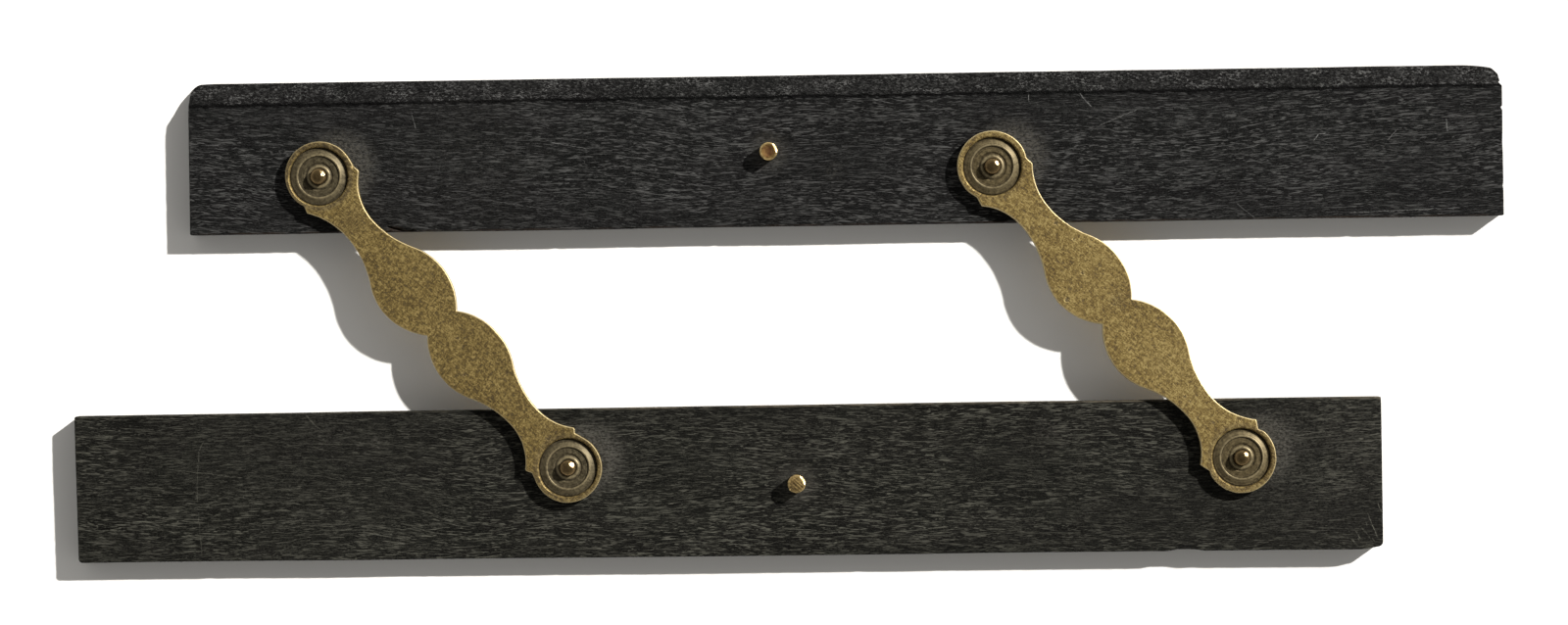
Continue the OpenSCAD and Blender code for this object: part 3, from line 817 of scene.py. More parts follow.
def arm_side(side, spec):
    """One long side of an arm from the far left of the upper ring to the far
    right of the lower one, as points (x, half width)."""
    anchors = np.array([NECK_X, BULB_X, ARM_LEN / 2, ARM_LEN - BULB_X, ARM_LEN - NECK_X])
    nudge = np.array(spec["nudge"][side])

    def shift(x):
        return np.interp(x, anchors, nudge)

    def end(ring_r, ring_v, ear, neck_v):
        tip, notch = np.array(ear[0:2]), np.array(ear[2:4])
        a1 = math.atan2(notch[1] - ring_v, notch[0])
        arc = [(ring_r * math.cos(a), ring_v + ring_r * math.sin(a)) for a in np.linspace(math.pi, a1, 90)]
        # ease the last of the arc into the notch
        r_notch = math.hypot(notch[0], notch[1] - ring_v)
        arc = [(p[0] * (1 + (r_notch / ring_r - 1) * smooth(k, 80, 89)),
                ring_v + (p[1] - ring_v) * (1 + (r_notch / ring_r - 1) * smooth(k, 80, 89)))
               for k, p in enumerate(arc)]
        flank = [tuple(notch + (tip - notch) * t) for t in np.linspace(0, 1, 9)[1:]]
        dx, dy = NECK_X - tip[0], tip[1] - neck_v
        r = (dx * dx + dy * dy) / (2 * dy)
        shoulder = [(x, neck_v + r - math.sqrt(r * r - (NECK_X - x) ** 2))
                    for x in np.linspace(tip[0], NECK_X, 40)[1:]]
        return arc + flank + shoulder

    r0, v0 = spec["ring"][0]
    r1, v1 = spec["ring"][1]
    sign = 1 if side == 0 else -1
    first = end(r0, sign * v0, spec["ears"][0][side], NECK_H + nudge[0])
    last = end(r1, sign * v1, spec["ears"][1][side], NECK_H + nudge[4])
    xs = np.linspace(NECK_X, ARM_LEN - NECK_X, 420)[1:-1]
    # each place belongs to its own swelling, so that the waist stays a sharp cusp
    middle = list(zip(xs, body_half(xs) + shift(xs)))
    return first + middle + [(ARM_LEN - x, v) for x, v in last[::-1]]


def even(points, step):
    """The closed line through points, at even steps."""
    p = np.vstack([points, points[:1]])
    d = np.r_[0, np.cumsum(np.hypot(*np.diff(p, axis=0).T))]
    n = int(round(d[-1] / step))
    t = np.arange(n) * d[-1] / n
    return np.stack([np.interp(t, d, p[:, 0]), np.interp(t, d, p[:, 1])], 1)


def blurred(p, sigma):
    """The closed line smoothed along itself over sigma points."""
    k = np.arange(-int(4 * sigma) - 1, int(4 * sigma) + 2)
    w = np.exp(-0.5 * (k / sigma) ** 2)
    w /= w.sum()
    return sum(wi * np.roll(p, -ki, axis=0) for wi, ki in zip(w, k))


def inside(points, loop):
    x, y = points[:, 0], points[:, 1]
    hit = np.zeros(len(points), bool)
    ax, ay = loop[:, 0], loop[:, 1]
    bx, by = np.roll(ax, -1), np.roll(ay, -1)
    for i in range(len(loop)):
        if ay[i] == by[i]:
            continue
        c = ((ay[i] > y) != (by[i] > y)) & (x < (bx[i] - ax[i]) * (y - ay[i]) / (by[i] - ay[i]) + ax[i])
        hit ^= c
    return hit


def gap_to(points, loop):
    """Distance of each point to the closed line."""
    tree = KDTree(len(loop))
    for i, p in enumerate(loop):
        tree.insert((p[0], p[1], 0.0), i)
    tree.balance()
    near = np.array([tree.find((p[0], p[1], 0.0))[1] for p in points])
    n = len(loop)
    best = np.full(len(points), 1e9)
    for k in (-2, -1, 0, 1):
        a, b = loop[(near + k) % n], loop[(near + k + 1) % n]
        ab, ap = b - a, points - a
        t = np.clip((ap * ab).sum(1) / ((ab * ab).sum(1) + 1e-12), 0, 1)
        best = np.minimum(best, np.hypot(*(ap - t[:, None] * ab).T))
    return best


def arm_outline(spec, seed):
    top = np.array(arm_side(0, spec))
    low = np.array(arm_side(1, spec))
    low[:, 1] *= -1
    line = even(np.vstack([top, low[::-1][1:-1]]), 0.05)
    sharp, blunt = blurred(line, 1.3), blurred(line, 6.0)
    w = np.zeros(len(line))
    for x, v, reach in spec["blunt"]:
        w = np.maximum(w, np.exp(-((line[:, 0] - x) ** 2 + (line[:, 1] - v) ** 2) / reach ** 2))
    line = sharp * (1 - w[:, None]) + blunt * w[:, None]
    t = np.roll(line, -1, 0) - np.roll(line, 1, 0)
    n = np.stack([t[:, 1], -t[:, 0]], 1) / (np.hypot(*t.T)[:, None] + 1e-9)
    s = np.arange(len(line)) * 0.05
    # the marks of a file along the edge
    off = 0.035 * noise(s / 5.0, 0 * s, seed) + 0.018 * noise(s / 1.1, 0 * s, seed + 1)
    line = line + n * off[:, None]
    return even(line, 0.15)


def make_arm(name, node, side, spec, seed, material):
    up, lo = PIVOT["upper_" + side], PIVOT["lower_" + side]
    ux = (lo - up) / np.linalg.norm(lo - up)
    vx = np.array([-ux[1], ux[0]])  # towards the upper right
    loop = arm_outline(spec, seed)
    area = 0.5 * np.sum(loop[:, 0] * np.roll(loop[:, 1], -1) - np.roll(loop[:, 0], -1) * loop[:, 1])
    if area < 0:
        loop = loop[::-1]
    t = np.roll(loop, -1, 0) - np.roll(loop, 1, 0)
    inward = np.stack([-t[:, 1], t[:, 0]], 1) / (np.hypot(*t.T)[:, None] + 1e-9)

    pts, edges = [], []

    def add(points, ring=False):
        i0 = len(pts)
        pts.extend(map(tuple, points))
        if ring:
            n = len(points)
            edges.extend((i0 + i, i0 + (i + 1) % n) for i in range(n))
        return i0

    add(loop, True)
    n_rim = len(loop)
    for d in (0.014, 0.05, 0.10, 0.17, 0.28):
        q = loop + inward * d
        keep = gap_to(q, loop) > d * 0.93
        add(q[keep])
    bores = []
    centres = [np.array([0.0, 0.0]), np.array([ARM_LEN, 0.0])]
    ring_radii = [RECESS_R + 0.30, RECESS_R + 0.25, RECESS_R + 0.19, RECESS_R + 0.12, RECESS_R + 0.05, RECESS_R,
                  RECESS_R - 0.012, RECESS_R - 0.05, 3.6, BORE_R]
    for c in centres:
        for r in ring_radii:
            n = {BORE_R: 48, 3.6: 64}.get(r, 168)
            a = np.arange(n) * 2 * math.pi / n
            i0 = add(c + r * np.stack([np.cos(a), np.sin(a)], 1), r in (RECESS_R, RECESS_R - 0.012, BORE_R))
            if r == BORE_R:
                bores.append((i0, n))
    # inside points on a slightly uneven grid, closer together round the marks
    rng = np.random.RandomState(seed)
    g = np.stack(np.meshgrid(np.arange(-7, ARM_LEN + 7, 0.42), np.arange(-7.2, 7.3, 0.42)), -1).reshape(-1, 2)
    g = g + rng.uniform(-0.1, 0.1, g.shape)
    for x, v, r, *_ in spec["pits"]:
        a = np.stack(np.meshgrid(np.arange(x - 2 * r, x + 2 * r, 0.16), np.arange(v - 2 * r, v + 2 * r, 0.16)), -1).reshape(-1, 2)
        g = np.vstack([g[(np.abs(g - [x, v]) > 2 * r).any(1)], a + rng.uniform(-0.03, 0.03, a.shape)])
    g = g[inside(g, loop)]
    g = g[gap_to(g, loop) > 0.40]
    for c in centres:
        g = g[np.hypot(*(g - c).T) > RECESS_R + 0.40]
    add(g)

    co, _, tris, orig, _, _ = delaunay_2d_cdt([Vector(p) for p in pts], edges, [], 0, 1e-5, True)
    co = np.array([tuple(c) for c in co])
    tris = np.array([t_ for t_ in tris if len(t_) == 3])
    mid = co[tris].mean(1)
    ok = inside(mid, loop)
    for c in centres:
        ok &= np.hypot(*(mid - c).T) > BORE_R - 1e-3
    tris = tris[ok]
    a2 = np.cross(co[tris[:, 1]] - co[tris[:, 0]], co[tris[:, 2]] - co[tris[:, 0]])
    tris = np.where(a2[:, None] < 0, tris[:, ::-1], tris)
    tris = tris[np.abs(a2) > 1e-9]
    where = {}
    for i, ids in enumerate(orig):
        for j in ids:
            where[j] = i

    d = gap_to(co, loop)
    x, v = co[:, 0], co[:, 1]
    er = 0.17 + 0.04 * noise(x / 3.0, v / 3.0, seed + 3) + 0.025 * noise(x / 0.7, v / 0.7, seed + 4)
    drop = round_drop(d, er)
    drop += 0.012 * (1 + layered(x / 5.0, v / 4.0, seed + 5)) + 0.006 * noise(x / 0.9, v / 0.9, seed + 6)
    for px, pv, r, deep in spec["pits"]:
        drop += deep * np.exp(-((x - px) ** 2 + (v - pv) ** 2) / (0.6 * r) ** 2)
    for (p, q, wide, deep) in spec["grooves"]:
        p, q = np.array(p), np.array(q)
        s_ = np.clip(((co - p) @ (q - p)) / ((q - p) @ (q - p)), 0, 1)
        off = np.hypot(*(co - (p + s_[:, None] * (q - p))).T)
        drop += deep * np.exp(-(off / wide) ** 2)
    z = ARM_TOP - drop
    floor_steps = [(BORE_R, FLOOR_Z), (RECESS_R - 0.05, FLOOR_Z), (RECESS_R - 0.012, FLOOR_Z + 0.03),
                   (RECESS_R, ARM_TOP - 0.36), (RECESS_R + 0.05, ARM_TOP - 0.26), (RECESS_R + 0.12, ARM_TOP - 0.13),
                   (RECESS_R + 0.19, ARM_TOP - 0.045), (RECESS_R + 0.25, ARM_TOP - 0.010), (RECESS_R + 0.30, ARM_TOP)]
    grime_and_shade = np.zeros(len(co))
    for c, tarnish in zip(centres, spec["tarnish"]):
        rho = np.hypot(*(co - c).T)
        lowered = np.interp(rho, [r for r, _ in floor_steps], [h for _, h in floor_steps])
        z = np.where(rho < RECESS_R - 0.005, lowered, z - (ARM_TOP - lowered) * (rho < RECESS_R + 0.30))
        # painted shade: the recess wall and, more lightly, its mouth are darkened all round; the band outside them is
        # the rim's own tarnish
        grime_and_shade = np.maximum(grime_and_shade, np.where(rho < RECESS_R + 0.005, 1.0, 0.0))
        grime_and_shade = np.maximum(grime_and_shade, tarnish * smooth(rho, RECESS_R + 1.5, RECESS_R + 0.45) * smooth(rho, RECESS_R + 0.16, RECESS_R + 0.30))
        grime_and_shade = np.maximum(grime_and_shade, 0.45 * smooth(rho, RECESS_R + 0.14, RECESS_R + 0.02))
    world = up + x[:, None] * ux + v[:, None] * vx
    n = len(co)
    low = ARM_LOW + round_drop(d, 0.07 + 0.02 * noise(x / 2, v / 2, seed + 7))
    verts = [np.column_stack([world, z]), np.column_stack([world, low])]
    faces = [tuple(t_) for t_ in tris] + [tuple(t_[::-1] + n) for t_ in tris]
    rim = np.array([where[i] for i in range(n_rim)])
    normal = -inward
    count = 2 * n
    rows = 4
    rings = [rim]
    walls = []
    for k in range(1, rows):
        f = k / rows
        zz = z[rim] * (1 - f) + low[rim] * f
        s = np.arange(n_rim) * 0.15
        out = 0.012 * math.sin(math.pi * f) + 0.010 * noise(s / 0.9, zz * 2, seed + 9)
        p = loop + normal * out[:, None]
        walls.append(np.column_stack([up + p[:, :1] * ux + p[:, 1:] * vx, zz]))
        rings.append(np.arange(n_rim) + count)
        count += n_rim
    rings.append(rim + n)
    for a_, b_ in zip(rings, rings[1:]):
        faces += [(a_[i], b_[i], b_[(i + 1) % n_rim], a_[(i + 1) % n_rim]) for i in range(n_rim)]
    for i0, m in bores:
        ids = [where[i0 + i] for i in range(m)]
        faces += [(ids[i], ids[(i + 1) % m], ids[(i + 1) % m] + n, ids[i] + n) for i in range(m)]
    extra = count - 2 * n
    edge = np.concatenate([d, d + 0.2, np.full(extra, 0.22)])
    dirt_and_shade = np.concatenate([grime_and_shade, grime_and_shade * 0.5, np.full(extra, 0.26)])
    ob = add_mesh(name, np.vstack(verts + walls), faces, material, 38, {"edge": edge, "grime_and_shade": dirt_and_shade})
    return stand_for(ob, node)


# ring: (radius, offset) of the upper and lower end. ears: for each end, for the
# side towards the upper right and the other one, the tip and the notch beside
# it. nudge: how far each side stands out at the neck, swelling, waist, swelling
# and neck. All in mm from the pivot and its axis.
LEFT = {
    "ring": [(5.98, 0.16), (5.98, -0.14)],
    "ears": [[(3.75, 5.98, 2.55, 5.72), (3.55, 5.72, 2.30, 5.34)],
             [(4.55, 5.36, 3.75, 4.78), (4.45, 6.02, 3.35, 5.30)]],
    "nudge": [[-0.48, -0.34, -0.28, -0.52, -0.16], [0.46, 0.46, 0.34, 0.18, 0.02]],
    "blunt": [(3.3, 6.0, 0.9), (ARM_LEN - 4.2, -6.0, 1.0), (ARM_LEN - 4.5, 5.4, 0.35)],
    "pits": [(36.4, 0.0, 0.30, 0.05), (11.9, -1.1, 0.55, 0.05), (63.6, 4.2, 0.5, 0.05)],
    "grooves": [((2.2, 5.95), (3.5, 4.85), 0.13, 0.16)],
    "tarnish": (0.85, 0.60),
}
RIGHT = {
    "ring": [(6.14, 0.08), (6.08, -0.12)],
    "ears": [[(4.15, 5.72, 2.70, 5.50), (4.05, 5.92, 2.30, 5.58)],
             [(3.40, 6.24, 1.90, 5.42), (3.70, 6.28, 1.80, 5.78)]],
    "nudge": [[0.18, 0.04, 0.12, 0.12, 0.20], [0.14, 0.28, 0.02, 0.06, -0.16]],
    "blunt": [(3.7, 5.9, 0.9)],
    "pits": [(14.3, 2.2, 0.45, 0.09), (24.0, -0.1, 0.35, 0.07), (25.8, -5.1, 0.45, 0.08),
             (31.4, 0.1, 0.35, 0.05), (51.9, -0.2, 0.3, 0.06), (62.0, 4.4, 0.4, 0.05)],
    "grooves": [],
    "tarnish": (0.30, 0.60),
}


# --------------------------------------------------------------------------
# Turned fittings

def make_rosette(corner, seed, material):
    node = corner + "_rosette"
    lo, hi = box_mm(node)
    z0 = float(lo[2])
    r_out = float(hi[0] - lo[0]) / 2
    prof = [(1.405, 0.0), (r_out - 0.03, 0.0), (r_out, 0.03), (r_out, 0.15), (4.90, 0.18), (4.58, 0.19),
            (4.38, 0.27), (4.10, 0.42), (3.92, 0.54), (3.78, 0.60), (3.66, 0.60), (3.58, 0.54),
            (3.50, 0.38), (3.40, 0.345), (3.00, 0.36), (2.62, 0.385), (2.50, 0.37), (2.40, 0.26),
            (2.30, 0.235), (2.20, 0.25), (2.06, 0.36), (1.90, 0.46), (1.76, 0.51), (1.62, 0.50),
            (1.46, 0.40), (1.405, 0.38)]
    prof = softened(prof, 0.05, 2, closed=True)
    rng = np.random.RandomState(seed)
    phase = rng.uniform(0, 6.28, (len(prof), 2))

    def wobble(k, ang):
        r = prof[k][0]
        hold = 0.0 if r > r_out - 0.12 or r < 1.5 else 1.0
        return (hold * (0.010 * np.sin(ang + phase[0, 0]) + 0.004 * np.sin(5 * ang + phase[k, 1])),
                hold * (0.006 * np.sin(2 * ang + phase[0, 1]) + 0.003 * np.sin(7 * ang + phase[k, 0])))

    v, f = turned(prof, 120, closed=True, wobble=wobble)
    r = np.hypot(v[:, 0], v[:, 1])
    h = v[:, 2]
    ridge = smooth(h, 0.50, 0.60) * (r > 3) + 0.9 * smooth(h, 0.34, 0.46) * (r < 2.1) * (r > 1.55)
    ridge = ridge + 0.30 * smooth(r, 3.85, 4.05) * smooth(r, 4.62, 4.40)
    # dark in the groove at the step and round the collar, partly dirt and partly painted shade; a painted shadow over
    # the outer zone beside the recess wall; darker at the foot of the pin
    grime_and_shade = np.maximum.reduce([0.75 * np.exp(-((r - 3.44) / 0.10) ** 2), 0.7 * np.exp(-((r - 2.28) / 0.16) ** 2),
                               0.8 * smooth(r, 4.50, 4.85), 0.7 * smooth(r, 1.55, 1.42)])
    v[:, 0] += PIVOT[corner][0]
    v[:, 1] += PIVOT[corner][1]
    v[:, 2] = np.maximum(v[:, 2], 0.0) + z0
    ob = add_mesh(node + "_turned", v, f, material, 50, {"ridge": np.clip(ridge, 0, 1), "grime_and_shade": np.clip(grime_and_shade, 0, 1)})
    return stand_for(ob, node)


def make_pin(corner, seed, facets, material):
    """A pin with a hand-dressed domed tip and a peened lower end."""
    node = corner + "_pin"
    lo, hi = box_mm(node)
    zb, zt = float(lo[2]), float(hi[2])
    r = 1.395
    prof = [(0, zb + 0.0), (0.8, zb + 0.0), (1.5, zb + 0.01), (1.93, zb + 0.04), (1.97, zb + 0.08),
            (1.42, zb + 0.60), (r, zb + 0.66), (r, zt - 2.2), (r, zt - 1.2), (r, zt - 0.85)]
    for t in np.linspace(0.08, 1, 12):
        a = t * math.pi / 2
        prof.append((r * math.cos(a) ** 0.85 if t < 1 else 0.0, zt - 0.72 + 0.70 * math.sin(a) ** 1.15))
    v, f = turned(prof, 72)
    rr = np.hypot(v[:, 0], v[:, 1])
    top = zt - 0.02
    for ang, tilt, at in facets:
        a = math.radians(ang)
        # a flat that leans over towards ang
        n = np.array([math.cos(a) * math.sin(math.radians(tilt)), math.sin(a) * math.sin(math.radians(tilt)),
                      math.cos(math.radians(tilt))])
        p = np.array([math.cos(a) * at, math.sin(a) * at, top])
        over = (v - p) @ n
        m = (v[:, 2] > zt - 1.0) & (over > 0)
        v[m] -= over[m, None] * n
    v[:, 2] += np.where(v[:, 2] > zt - 0.9, 0.022 * noise(v[:, 0] * 2.2, v[:, 1] * 2.2, seed), 0)
    v[:, 2] = np.minimum(v[:, 2], zt)
    x, y = PIVOT[corner]
    tall = v[:, 2]
    ridge = np.clip(smooth(tall, zt - 1.0, zt - 0.3) + (tall < zb + 0.3) * 0.5, 0, 1)
    # darker low down on the shank, inside the recess
    grime_and_shade = np.where((tall > ARM_TOP - 0.9) & (tall < ARM_TOP + 0.2), smooth(tall, ARM_TOP + 0.2, ARM_TOP - 0.4), 0)
    v[:, 0] += x
    v[:, 1] += y
    ob = add_mesh(node + "_turned", v, f, material, 34, {"ridge": ridge, "grime_and_shade": grime_and_shade})
    return stand_for(ob, node)


def make_spacer(corner, material):
    node = corner + "_spacer"
    lo, hi = box_mm(node)
    r, z0, z1 = float(hi[0] - lo[0]) / 2, float(lo[2]), float(hi[2])
    prof = softened([(1.41, z0), (r, z0), (r, z1), (1.41, z1)], 0.04, 2, closed=True)
    v, f = turned(prof, 96, closed=True)
    v[:, 0] += PIVOT[corner][0]
    v[:, 1] += PIVOT[corner][1]
    ob = add_mesh(node + "_turned", v, f, material, 40, {"ridge": np.zeros(len(v)), "grime_and_shade": np.full(len(v), 0.3)})
    return stand_for(ob, node)


def make_plate(corner, seed, material):
    """The countersunk disc that holds the pin's peened end."""
    node = corner + "_rivet_plate"
    lo, hi = box_mm(node)
    r, z0, z1 = float(hi[0] - lo[0]) / 2, float(lo[2]), float(hi[2])
    prof = [(2.01, z0 + 0.01), (1.43, z0 + 0.60), (1.41, z1), (r, z1), (r, z0 + 0.02), (r - 0.03, z0),
            (2.7, z0), (2.25, z0), (2.06, z0)]
    prof = softened(prof[::-1], 0.03, 1, closed=True)
    v, f = turned(prof, 96, closed=True)
    x, y = v[:, 0].copy(), v[:, 1].copy()
    face = v[:, 2] < z0 + 0.04
    a = math.radians(seed * 31 % 180)
    v[:, 2] += face * (0.008 + 0.006 * noise((x * math.cos(a) + y * math.sin(a)) * 4, (y * math.cos(a) - x * math.sin(a)) * 0.6, seed))
    v[:, 0] += PIVOT[corner][0]
    v[:, 1] += PIVOT[corner][1]
    ob = add_mesh(node + "_turned", v, f, material, 40,
                  {"ridge": np.clip(face * 0.35, 0, 1), "grime_and_shade": np.clip(smooth(np.hypot(x, y), 2.15, 2.02) * 0.8, 0, 1)})
    return stand_for(ob, node)


def make_post(side, material):
    node = side + "_finger_post"
    lo, hi = box_mm(node)
    r = float(hi[0] - lo[0]) / 2
    z0, zs, zt = float(lo[2]), BLADE_T, float(hi[2])
    dished = side == "upper"
    prof = [(0, z0), (1.1, z0), (1.2, z0 + 0.08), (1.2, zs - 0.04), (1.23, zs - 0.03), (r - 0.02, zs - 0.02), (r, zs + 0.02),
            (r - 0.01, zs + 0.5), (r, zs + 1.2), (r - 0.01, zt - 0.9), (r, zt - 0.32), (r, zt - 0.16)]
    # over the rim and in to the middle
    for rr, h in ((r - 0.02, zt - 0.09), (r - 0.06, zt - 0.035), (r - 0.12, zt - 0.008), (r - 0.20, zt - 0.004)):
        prof.append((rr, h))
    for rr in np.linspace(r - 0.27, 0.12, 14):
        prof.append((rr, zt - 0.01))
    prof.append((0, zt - 0.01))
    v, f = turned(prof, 96)
    x, y = v[:, 0].copy(), v[:, 1].copy()
    rad = np.hypot(x, y)
    face = (v[:, 2] > zt - 0.4) & (rad < r - 0.05)
    if dished:
        sink = 0.16 * smooth(rad, 1.25, 0.45) + 0.03 * noise(x * 1.6, y * 1.6, 71) * smooth(rad, 1.3, 1.0)
        # the rim is rubbed down on one side
        sink = sink + 0.10 * smooth(x * 0.2 + y * -0.98, 0.4, 1.5)
    else:
        # left as filed: ridges that run from the upper left to the lower right
        a = math.radians(-42)
        across = -x * math.sin(a) + y * math.cos(a)
        sink = 0.016 * (1 + np.sin(across * 2 * math.pi / 0.46 + 2.2 * noise(across * 1.3, 0 * x, 72))) \
            * np.clip(0.5 + noise(x * 1.2, y * 1.2, 73), 0.1, 1.3) + 0.05 * smooth(across, 0.3, -1.5)
    v[:, 2] -= np.where(face, sink, 0)
    # one side of the rim is rubbed to a slope
    a = math.radians(24 if dished else 30)
    n = np.array([math.cos(a) * math.sin(0.50), math.sin(a) * math.sin(0.50), math.cos(0.50)])
    over = (v - (math.cos(a) * (r - 0.42), math.sin(a) * (r - 0.42), zt - 0.01)) @ n + 0.03 * noise(x * 3, y * 3, 74)
    cut = (v[:, 2] > zt - 0.5) & (over > 0)
    v[cut] -= over[cut, None] * n
    top = smooth(v[:, 2], zt - 0.5, zt - 0.2)
    valley = np.zeros(len(v)) if dished else smooth(sink, 0.018, 0.034) * face
    ridge = top * smooth(rad, r - 0.42, r - 0.12) if dished else top * (0.35 + 0.65 * smooth(rad, r - 0.35, r - 0.1))
    grime_and_shade = (top * smooth(rad, r - 0.15, 0.7) * (0.95 if dished else 0.25)) + 0.75 * valley + 0.5 * smooth(v[:, 2], zs + 0.5, zs + 0.05) * (v[:, 2] >= zs)
    v[:, 0] += POST[side][0]
    v[:, 1] += POST[side][1]
    ob = add_mesh(node + "_turned", v, f, material, 34, {"ridge": np.clip(ridge, 0, 1), "grime_and_shade": np.clip(grime_and_shade, 0, 1)})
    return stand_for(ob, node)


# --------------------------------------------------------------------------
# The finishes, and the pieces

def at(px, py):
    """A place on top of the blades from its place in the picture's frame."""
    k, phi = 0.17088, 0.0152
    dx, dy = px - 805.1, py - 322.7
    return (k * (dx * math.cos(phi) - dy * math.sin(phi)), k * (-dx * math.sin(phi) - dy * math.cos(phi)))


def grey(v, warm=0.0):
    """A nearly neutral dark tone of albedo v."""
    return (v * (1 + 0.25 * warm), v * (1 + 0.15 * warm), v * (1 - 0.75 * warm))


upper_tint = tuple(grey(v, 0.04) for v in (0.0016, 0.0048, 0.0104, 0.0190, 0.076))
lower_tint = tuple(grey(v, 0.22) for v in (0.0017, 0.0052, 0.0112, 0.0205, 0.078))
upper_marks = [
    (at(1101, 93), at(1106, 101), 0.16, 1.0), (at(1106, 101), at(1114, 109), 0.13, 0.9), (at(1049, 93), at(1050, 104), 0.10, 0.8),
    (at(1340, 144), at(1346, 137), 0.13, 0.9), (at(1346, 137), at(1353, 136), 0.10, 0.8), (at(1476, 121), at(1477, 134), 0.11, 0.8),
    (at(1425, 133), at(1416, 143), 0.10, 0.7), (at(1380, 217), at(1490, 212), 0.09, 0.55), (at(420, 116), at(424, 132), 0.09, 0.5),
    (at(560, 145), at(600, 152), 0.09, 0.5), (at(1122, 128), at(1160, 112), 0.09, 0.55), (at(890, 101), at(912, 106), 0.09, 0.6),
    (at(1262, 208), at(1285, 226), 0.09, 0.35), (at(700, 128), at(735, 122), 0.09, 0.45), (at(500, 205), at(560, 214), 0.09, 0.35),
]
lower_marks = [
    (at(1395.5, 524), at(1400, 535), 0.10, 0.45), (at(1400, 535), at(1405.7, 548.5), 0.12, 0.55), (at(1405.5, 512.5), at(1409.5, 522.5), 0.13, 0.40),
    (at(1393.5, 531.5), at(1395.2, 537.5), 0.12, 0.30), (at(1389.5, 539), at(1392, 541), 0.16, 0.42), (at(1392, 541), at(1393, 544), 0.13, 0.42),
    (at(1383.5, 542), at(1385.5, 545.5), 0.14, 0.36), (at(1385.5, 545.5), at(1388.3, 550), 0.19, 0.46), (at(1385.8, 549), at(1387, 552), 0.12, 0.35),
    (at(1378.5, 550), at(1383.3, 554.5), 0.19, 0.46), (at(1392.5, 541), at(1396, 546), 0.09, 0.26), (at(1396, 546), at(1398.8, 551.5), 0.09, 0.22),
    (at(1376.5, 557.5), at(1379, 559.5), 0.14, 0.26), (at(1400.5, 549), at(1403, 553), 0.12, 0.28), (at(1366, 546), at(1372, 549), 0.11, 0.22),
    (at(207.5, 451), at(202.8, 461), 0.09, 0.24), (at(202.8, 461), at(202.6, 472), 0.12, 0.36), (at(202, 474), at(200.8, 496), 0.08, 0.26),
    (at(200.8, 496), at(201.3, 513), 0.08, 0.28), (at(202.5, 524), at(204, 546), 0.07, 0.20), (at(204, 546), at(206, 567), 0.09, 0.24),
    (at(170, 479), at(205, 483), 0.09, 0.26), (at(205, 483), at(247, 488), 0.09, 0.26), (at(312, 424), at(321, 434), 0.20, 0.26),
    (at(321, 434), at(330, 441), 0.12, 0.22), (at(305, 453), at(350, 454), 0.09, 0.24), (at(350, 454), at(398, 452), 0.09, 0.22),
    (at(640, 443), at(660, 441), 0.11, 0.35), (at(845, 455), at(880, 447), 0.09, 0.28), (at(1320, 445), at(1352, 440), 0.09, 0.30),
    (at(440, 552), at(520, 548), 0.08, 0.22), (at(960, 520), at(1010, 515), 0.08, 0.25),
]
upper_wood = ebony("upper_blade_ebony", upper_tint, 3.0, [PIVOT["upper_left"], PIVOT["upper_right"]], POST["upper"],
                   upper_marks, [(at(850, 174), 2.6, 0.35), (at(520, 88), 2.0, 0.2), (at(480, 165), 20.0, 0.13)], (-0.02, 0.00035, 0.0), 0.7,
                   ((0.034, 0.022, 0.015), grey(0.108, 0.04)))
lower_wood = ebony("lower_blade_ebony", lower_tint, 29.0, [PIVOT["lower_left"], PIVOT["lower_right"]], POST["lower"],
                   lower_marks, [(at(1070, 438), 3.6, 0.42), (at(640, 540), 3.0, 0.15), (at(384, 452), 1.5, 0.7), (at(330, 436), 6.0, 0.18),
                                (at(1350, 468), 21.0, 0.30), (at(320, 500), 32.0, 0.10)], (-0.01, 0.0001, 3.0), 0.6,
                   ((0.085, 0.072, 0.052), grey(0.050, 0.2)))
make_upper_blade(upper_wood)
make_lower_blade(lower_wood)

left_brass = brass(
    "left_arm_brass", 5.0, (srgb(62, 49, 25), srgb(93, 77, 41), srgb(122, 103, 58), srgb(160, 140, 88)),
    [(at(468, 345), 0.45, 0.8), (at(444, 369), 0.4, 0.7), (at(475, 382), 0.5, 0.8), (at(560, 447), 0.7, 0.5)],
    39.7, srgb(206, 188, 142), smudges=[(at(560, 440), 2.2, 0.35), (at(430, 250), 2.6, 0.25), (at(358, 226), 4.0, 0.42)])
right_brass = brass(
    "right_arm_brass", 12.0, (srgb(68, 53, 26), srgb(104, 85, 45), srgb(131, 111, 63), srgb(168, 148, 95)),
    [(at(1077, 228), 0.55, 0.95), (at(1095, 244), 0.38, 0.8), (at(1104, 279), 0.42, 0.95), (at(1088, 306), 0.62, 0.95),
     (at(1136, 311), 0.45, 0.85), (at(1180, 334), 0.35, 0.7), (at(1208, 405), 0.38, 0.85), (at(1213, 410), 0.32, 0.7),
     (at(1262, 427), 0.6, 0.6)],
    39.7, srgb(222, 204, 158), smudges=[(at(1140, 306), 2.4, 0.55), (at(1180, 370), 3.0, 0.25)])
make_arm("left_arm_plate", "left_arm", "left", LEFT, 101, left_brass)
make_arm("right_arm_plate", "right_arm", "right", RIGHT, 202, right_brass)

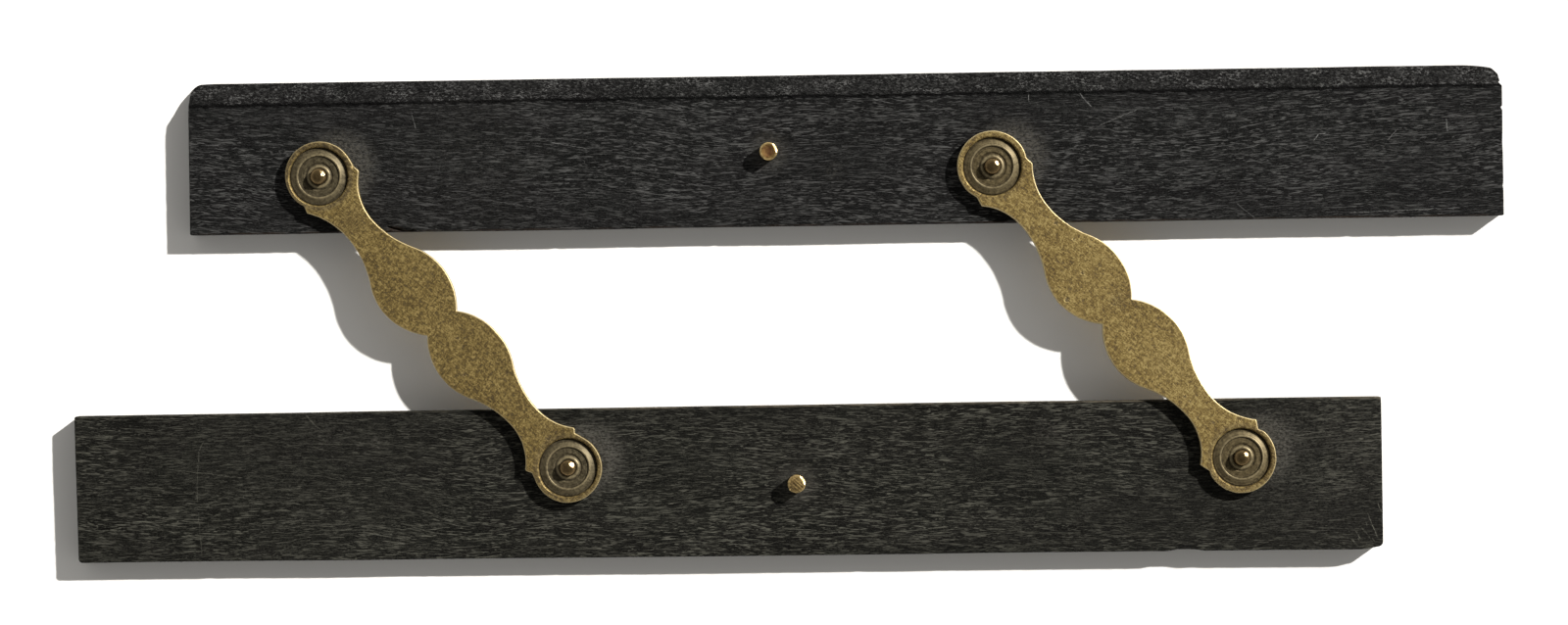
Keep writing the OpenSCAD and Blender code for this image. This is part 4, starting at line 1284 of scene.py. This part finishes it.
FACETS = {
    "upper_left": [(37, 28, 0.45), (110, 33, 0.66), (175, 30, 0.62), (250, 27, 0.60), (315, 34, 0.70), (80, 8, 0.0)],
    "lower_left": [(36, 27, 0.41), (120, 32, 0.68), (190, 30, 0.66), (262, 28, 0.60), (325, 36, 0.76), (200, 7, 0.0)],
    "upper_right": [(33, 28, 0.50), (225, 16, 0.15), (100, 33, 0.78), (160, 30, 0.66), (290, 32, 0.70)],
    "lower_right": [(36, 27, 0.46), (215, 20, 0.40), (105, 33, 0.70), (160, 28, 0.60), (290, 32, 0.72)],
}
for i, c in enumerate(CORNERS):
    warm = c.endswith("right")
    ring = turned_brass(
        c + "_rosette_brass", PIVOT[c], 3.0 + 7 * i,
        (srgb(49, 43, 31), srgb(74, 67, 50), srgb(97, 88, 67)) if not warm else (srgb(54, 47, 31), srgb(81, 71, 49), srgb(106, 94, 67)),
        srgb(132, 120, 92), metallic=0.35)
    tip = turned_brass(c + "_pin_brass", PIVOT[c], 5.0 + 9 * i, (srgb(52, 40, 24), srgb(82, 66, 41), srgb(108, 89, 58)),
                       srgb(106, 89, 60), metallic=0.75, gloss=0.26)
    plain = turned_brass(c + "_plain_brass", PIVOT[c], 8.0 + 5 * i, (srgb(84, 70, 40), srgb(118, 100, 60), srgb(142, 124, 80)),
                         srgb(160, 142, 100))
    make_rosette(c, 11 + i, ring)
    make_pin(c, 31 + i, FACETS[c], tip)
    make_spacer(c, plain)
    make_plate(c, 51 + i, plain)
for side in ("upper", "lower"):
    post_brass = turned_brass(side + "_post_brass", POST[side], 60.0 if side == "upper" else 77.0,
                              (srgb(84, 62, 34), srgb(122, 98, 56), srgb(150, 126, 76)), srgb(190, 166, 116),
                              metallic=0.65, gloss=0.40, dirt_and_shade=(84, 55, 36) if side == "upper" else (58, 48, 28))
    make_post(side, post_brass)


# --------------------------------------------------------------------------
# Floor, light and camera

scene = bpy.context.scene
floor_mat = Shader("pale_floor")
grainy = floor_mat.noise(floor_mat.mapped(floor_mat.mm, (0.02, 0.02, 0.02)), 1.0, 3.0)
floor_mat.finish(floor_mat.mix(grainy, (0.945, 0.930, 0.895), (0.960, 0.947, 0.915)), 0.85, specular=0.1)
me = bpy.data.meshes.new("floor")
me.from_pydata([(-3, -3, -0.00002), (3, -3, -0.00002), (3, 3, -0.00002), (-3, 3, -0.00002)], [], [(0, 1, 2, 3)])
me.materials.append(floor_mat.mat)
floor = bpy.data.objects.new("floor", me)
scene.collection.objects.link(floor)

# soft light all round, weaker from straight above
world = bpy.data.worlds.new("studio")
world.use_nodes = True
wt = world.node_tree
back = wt.nodes["Background"]
where = wt.nodes.new("ShaderNodeTexCoord")
parts = wt.nodes.new("ShaderNodeSeparateXYZ")
fade = wt.nodes.new("ShaderNodeMapRange")
fade.inputs["From Min"].default_value = 0.2
fade.inputs["From Max"].default_value = 0.85
fade.inputs["To Min"].default_value = 0.98
fade.inputs["To Max"].default_value = 0.03
wt.links.new(where.outputs["Generated"], parts.inputs[0])
wt.links.new(parts.outputs["Z"], fade.inputs["Value"])
wt.links.new(fade.outputs["Result"], back.inputs["Strength"])
back.inputs["Color"].default_value = (1.0, 0.985, 0.96, 1)
scene.world = world

key = bpy.data.lights.new("key", "SUN")
key.energy = 6.6
key.angle = math.radians(2.0)
key.color = (1.0, 0.98, 0.95)
key_ob = bpy.data.objects.new("key", key)
az, el = math.radians(35.0), math.radians(33.7)
to_light = Vector((math.cos(az) * math.cos(el), math.sin(az) * math.cos(el), math.sin(el)))
key_ob.rotation_euler = to_light.to_track_quat("Z", "Y").to_euler()
key_ob.location = to_light * 1.5
scene.collection.objects.link(key_ob)

cam = bpy.data.cameras.new("camera")
cam.sensor_width = 36.0
cam.lens = 36.0 * 3745.0 / 1600.0
cam_ob = bpy.data.objects.new("camera", cam)
cam_ob.location = (-0.00087, 0.00063, 0.644)
cam_ob.rotation_euler = (0.0, 0.0, -0.0152)
scene.collection.objects.link(cam_ob)
scene.camera = cam_ob
scene.view_settings.view_transform = "Standard"
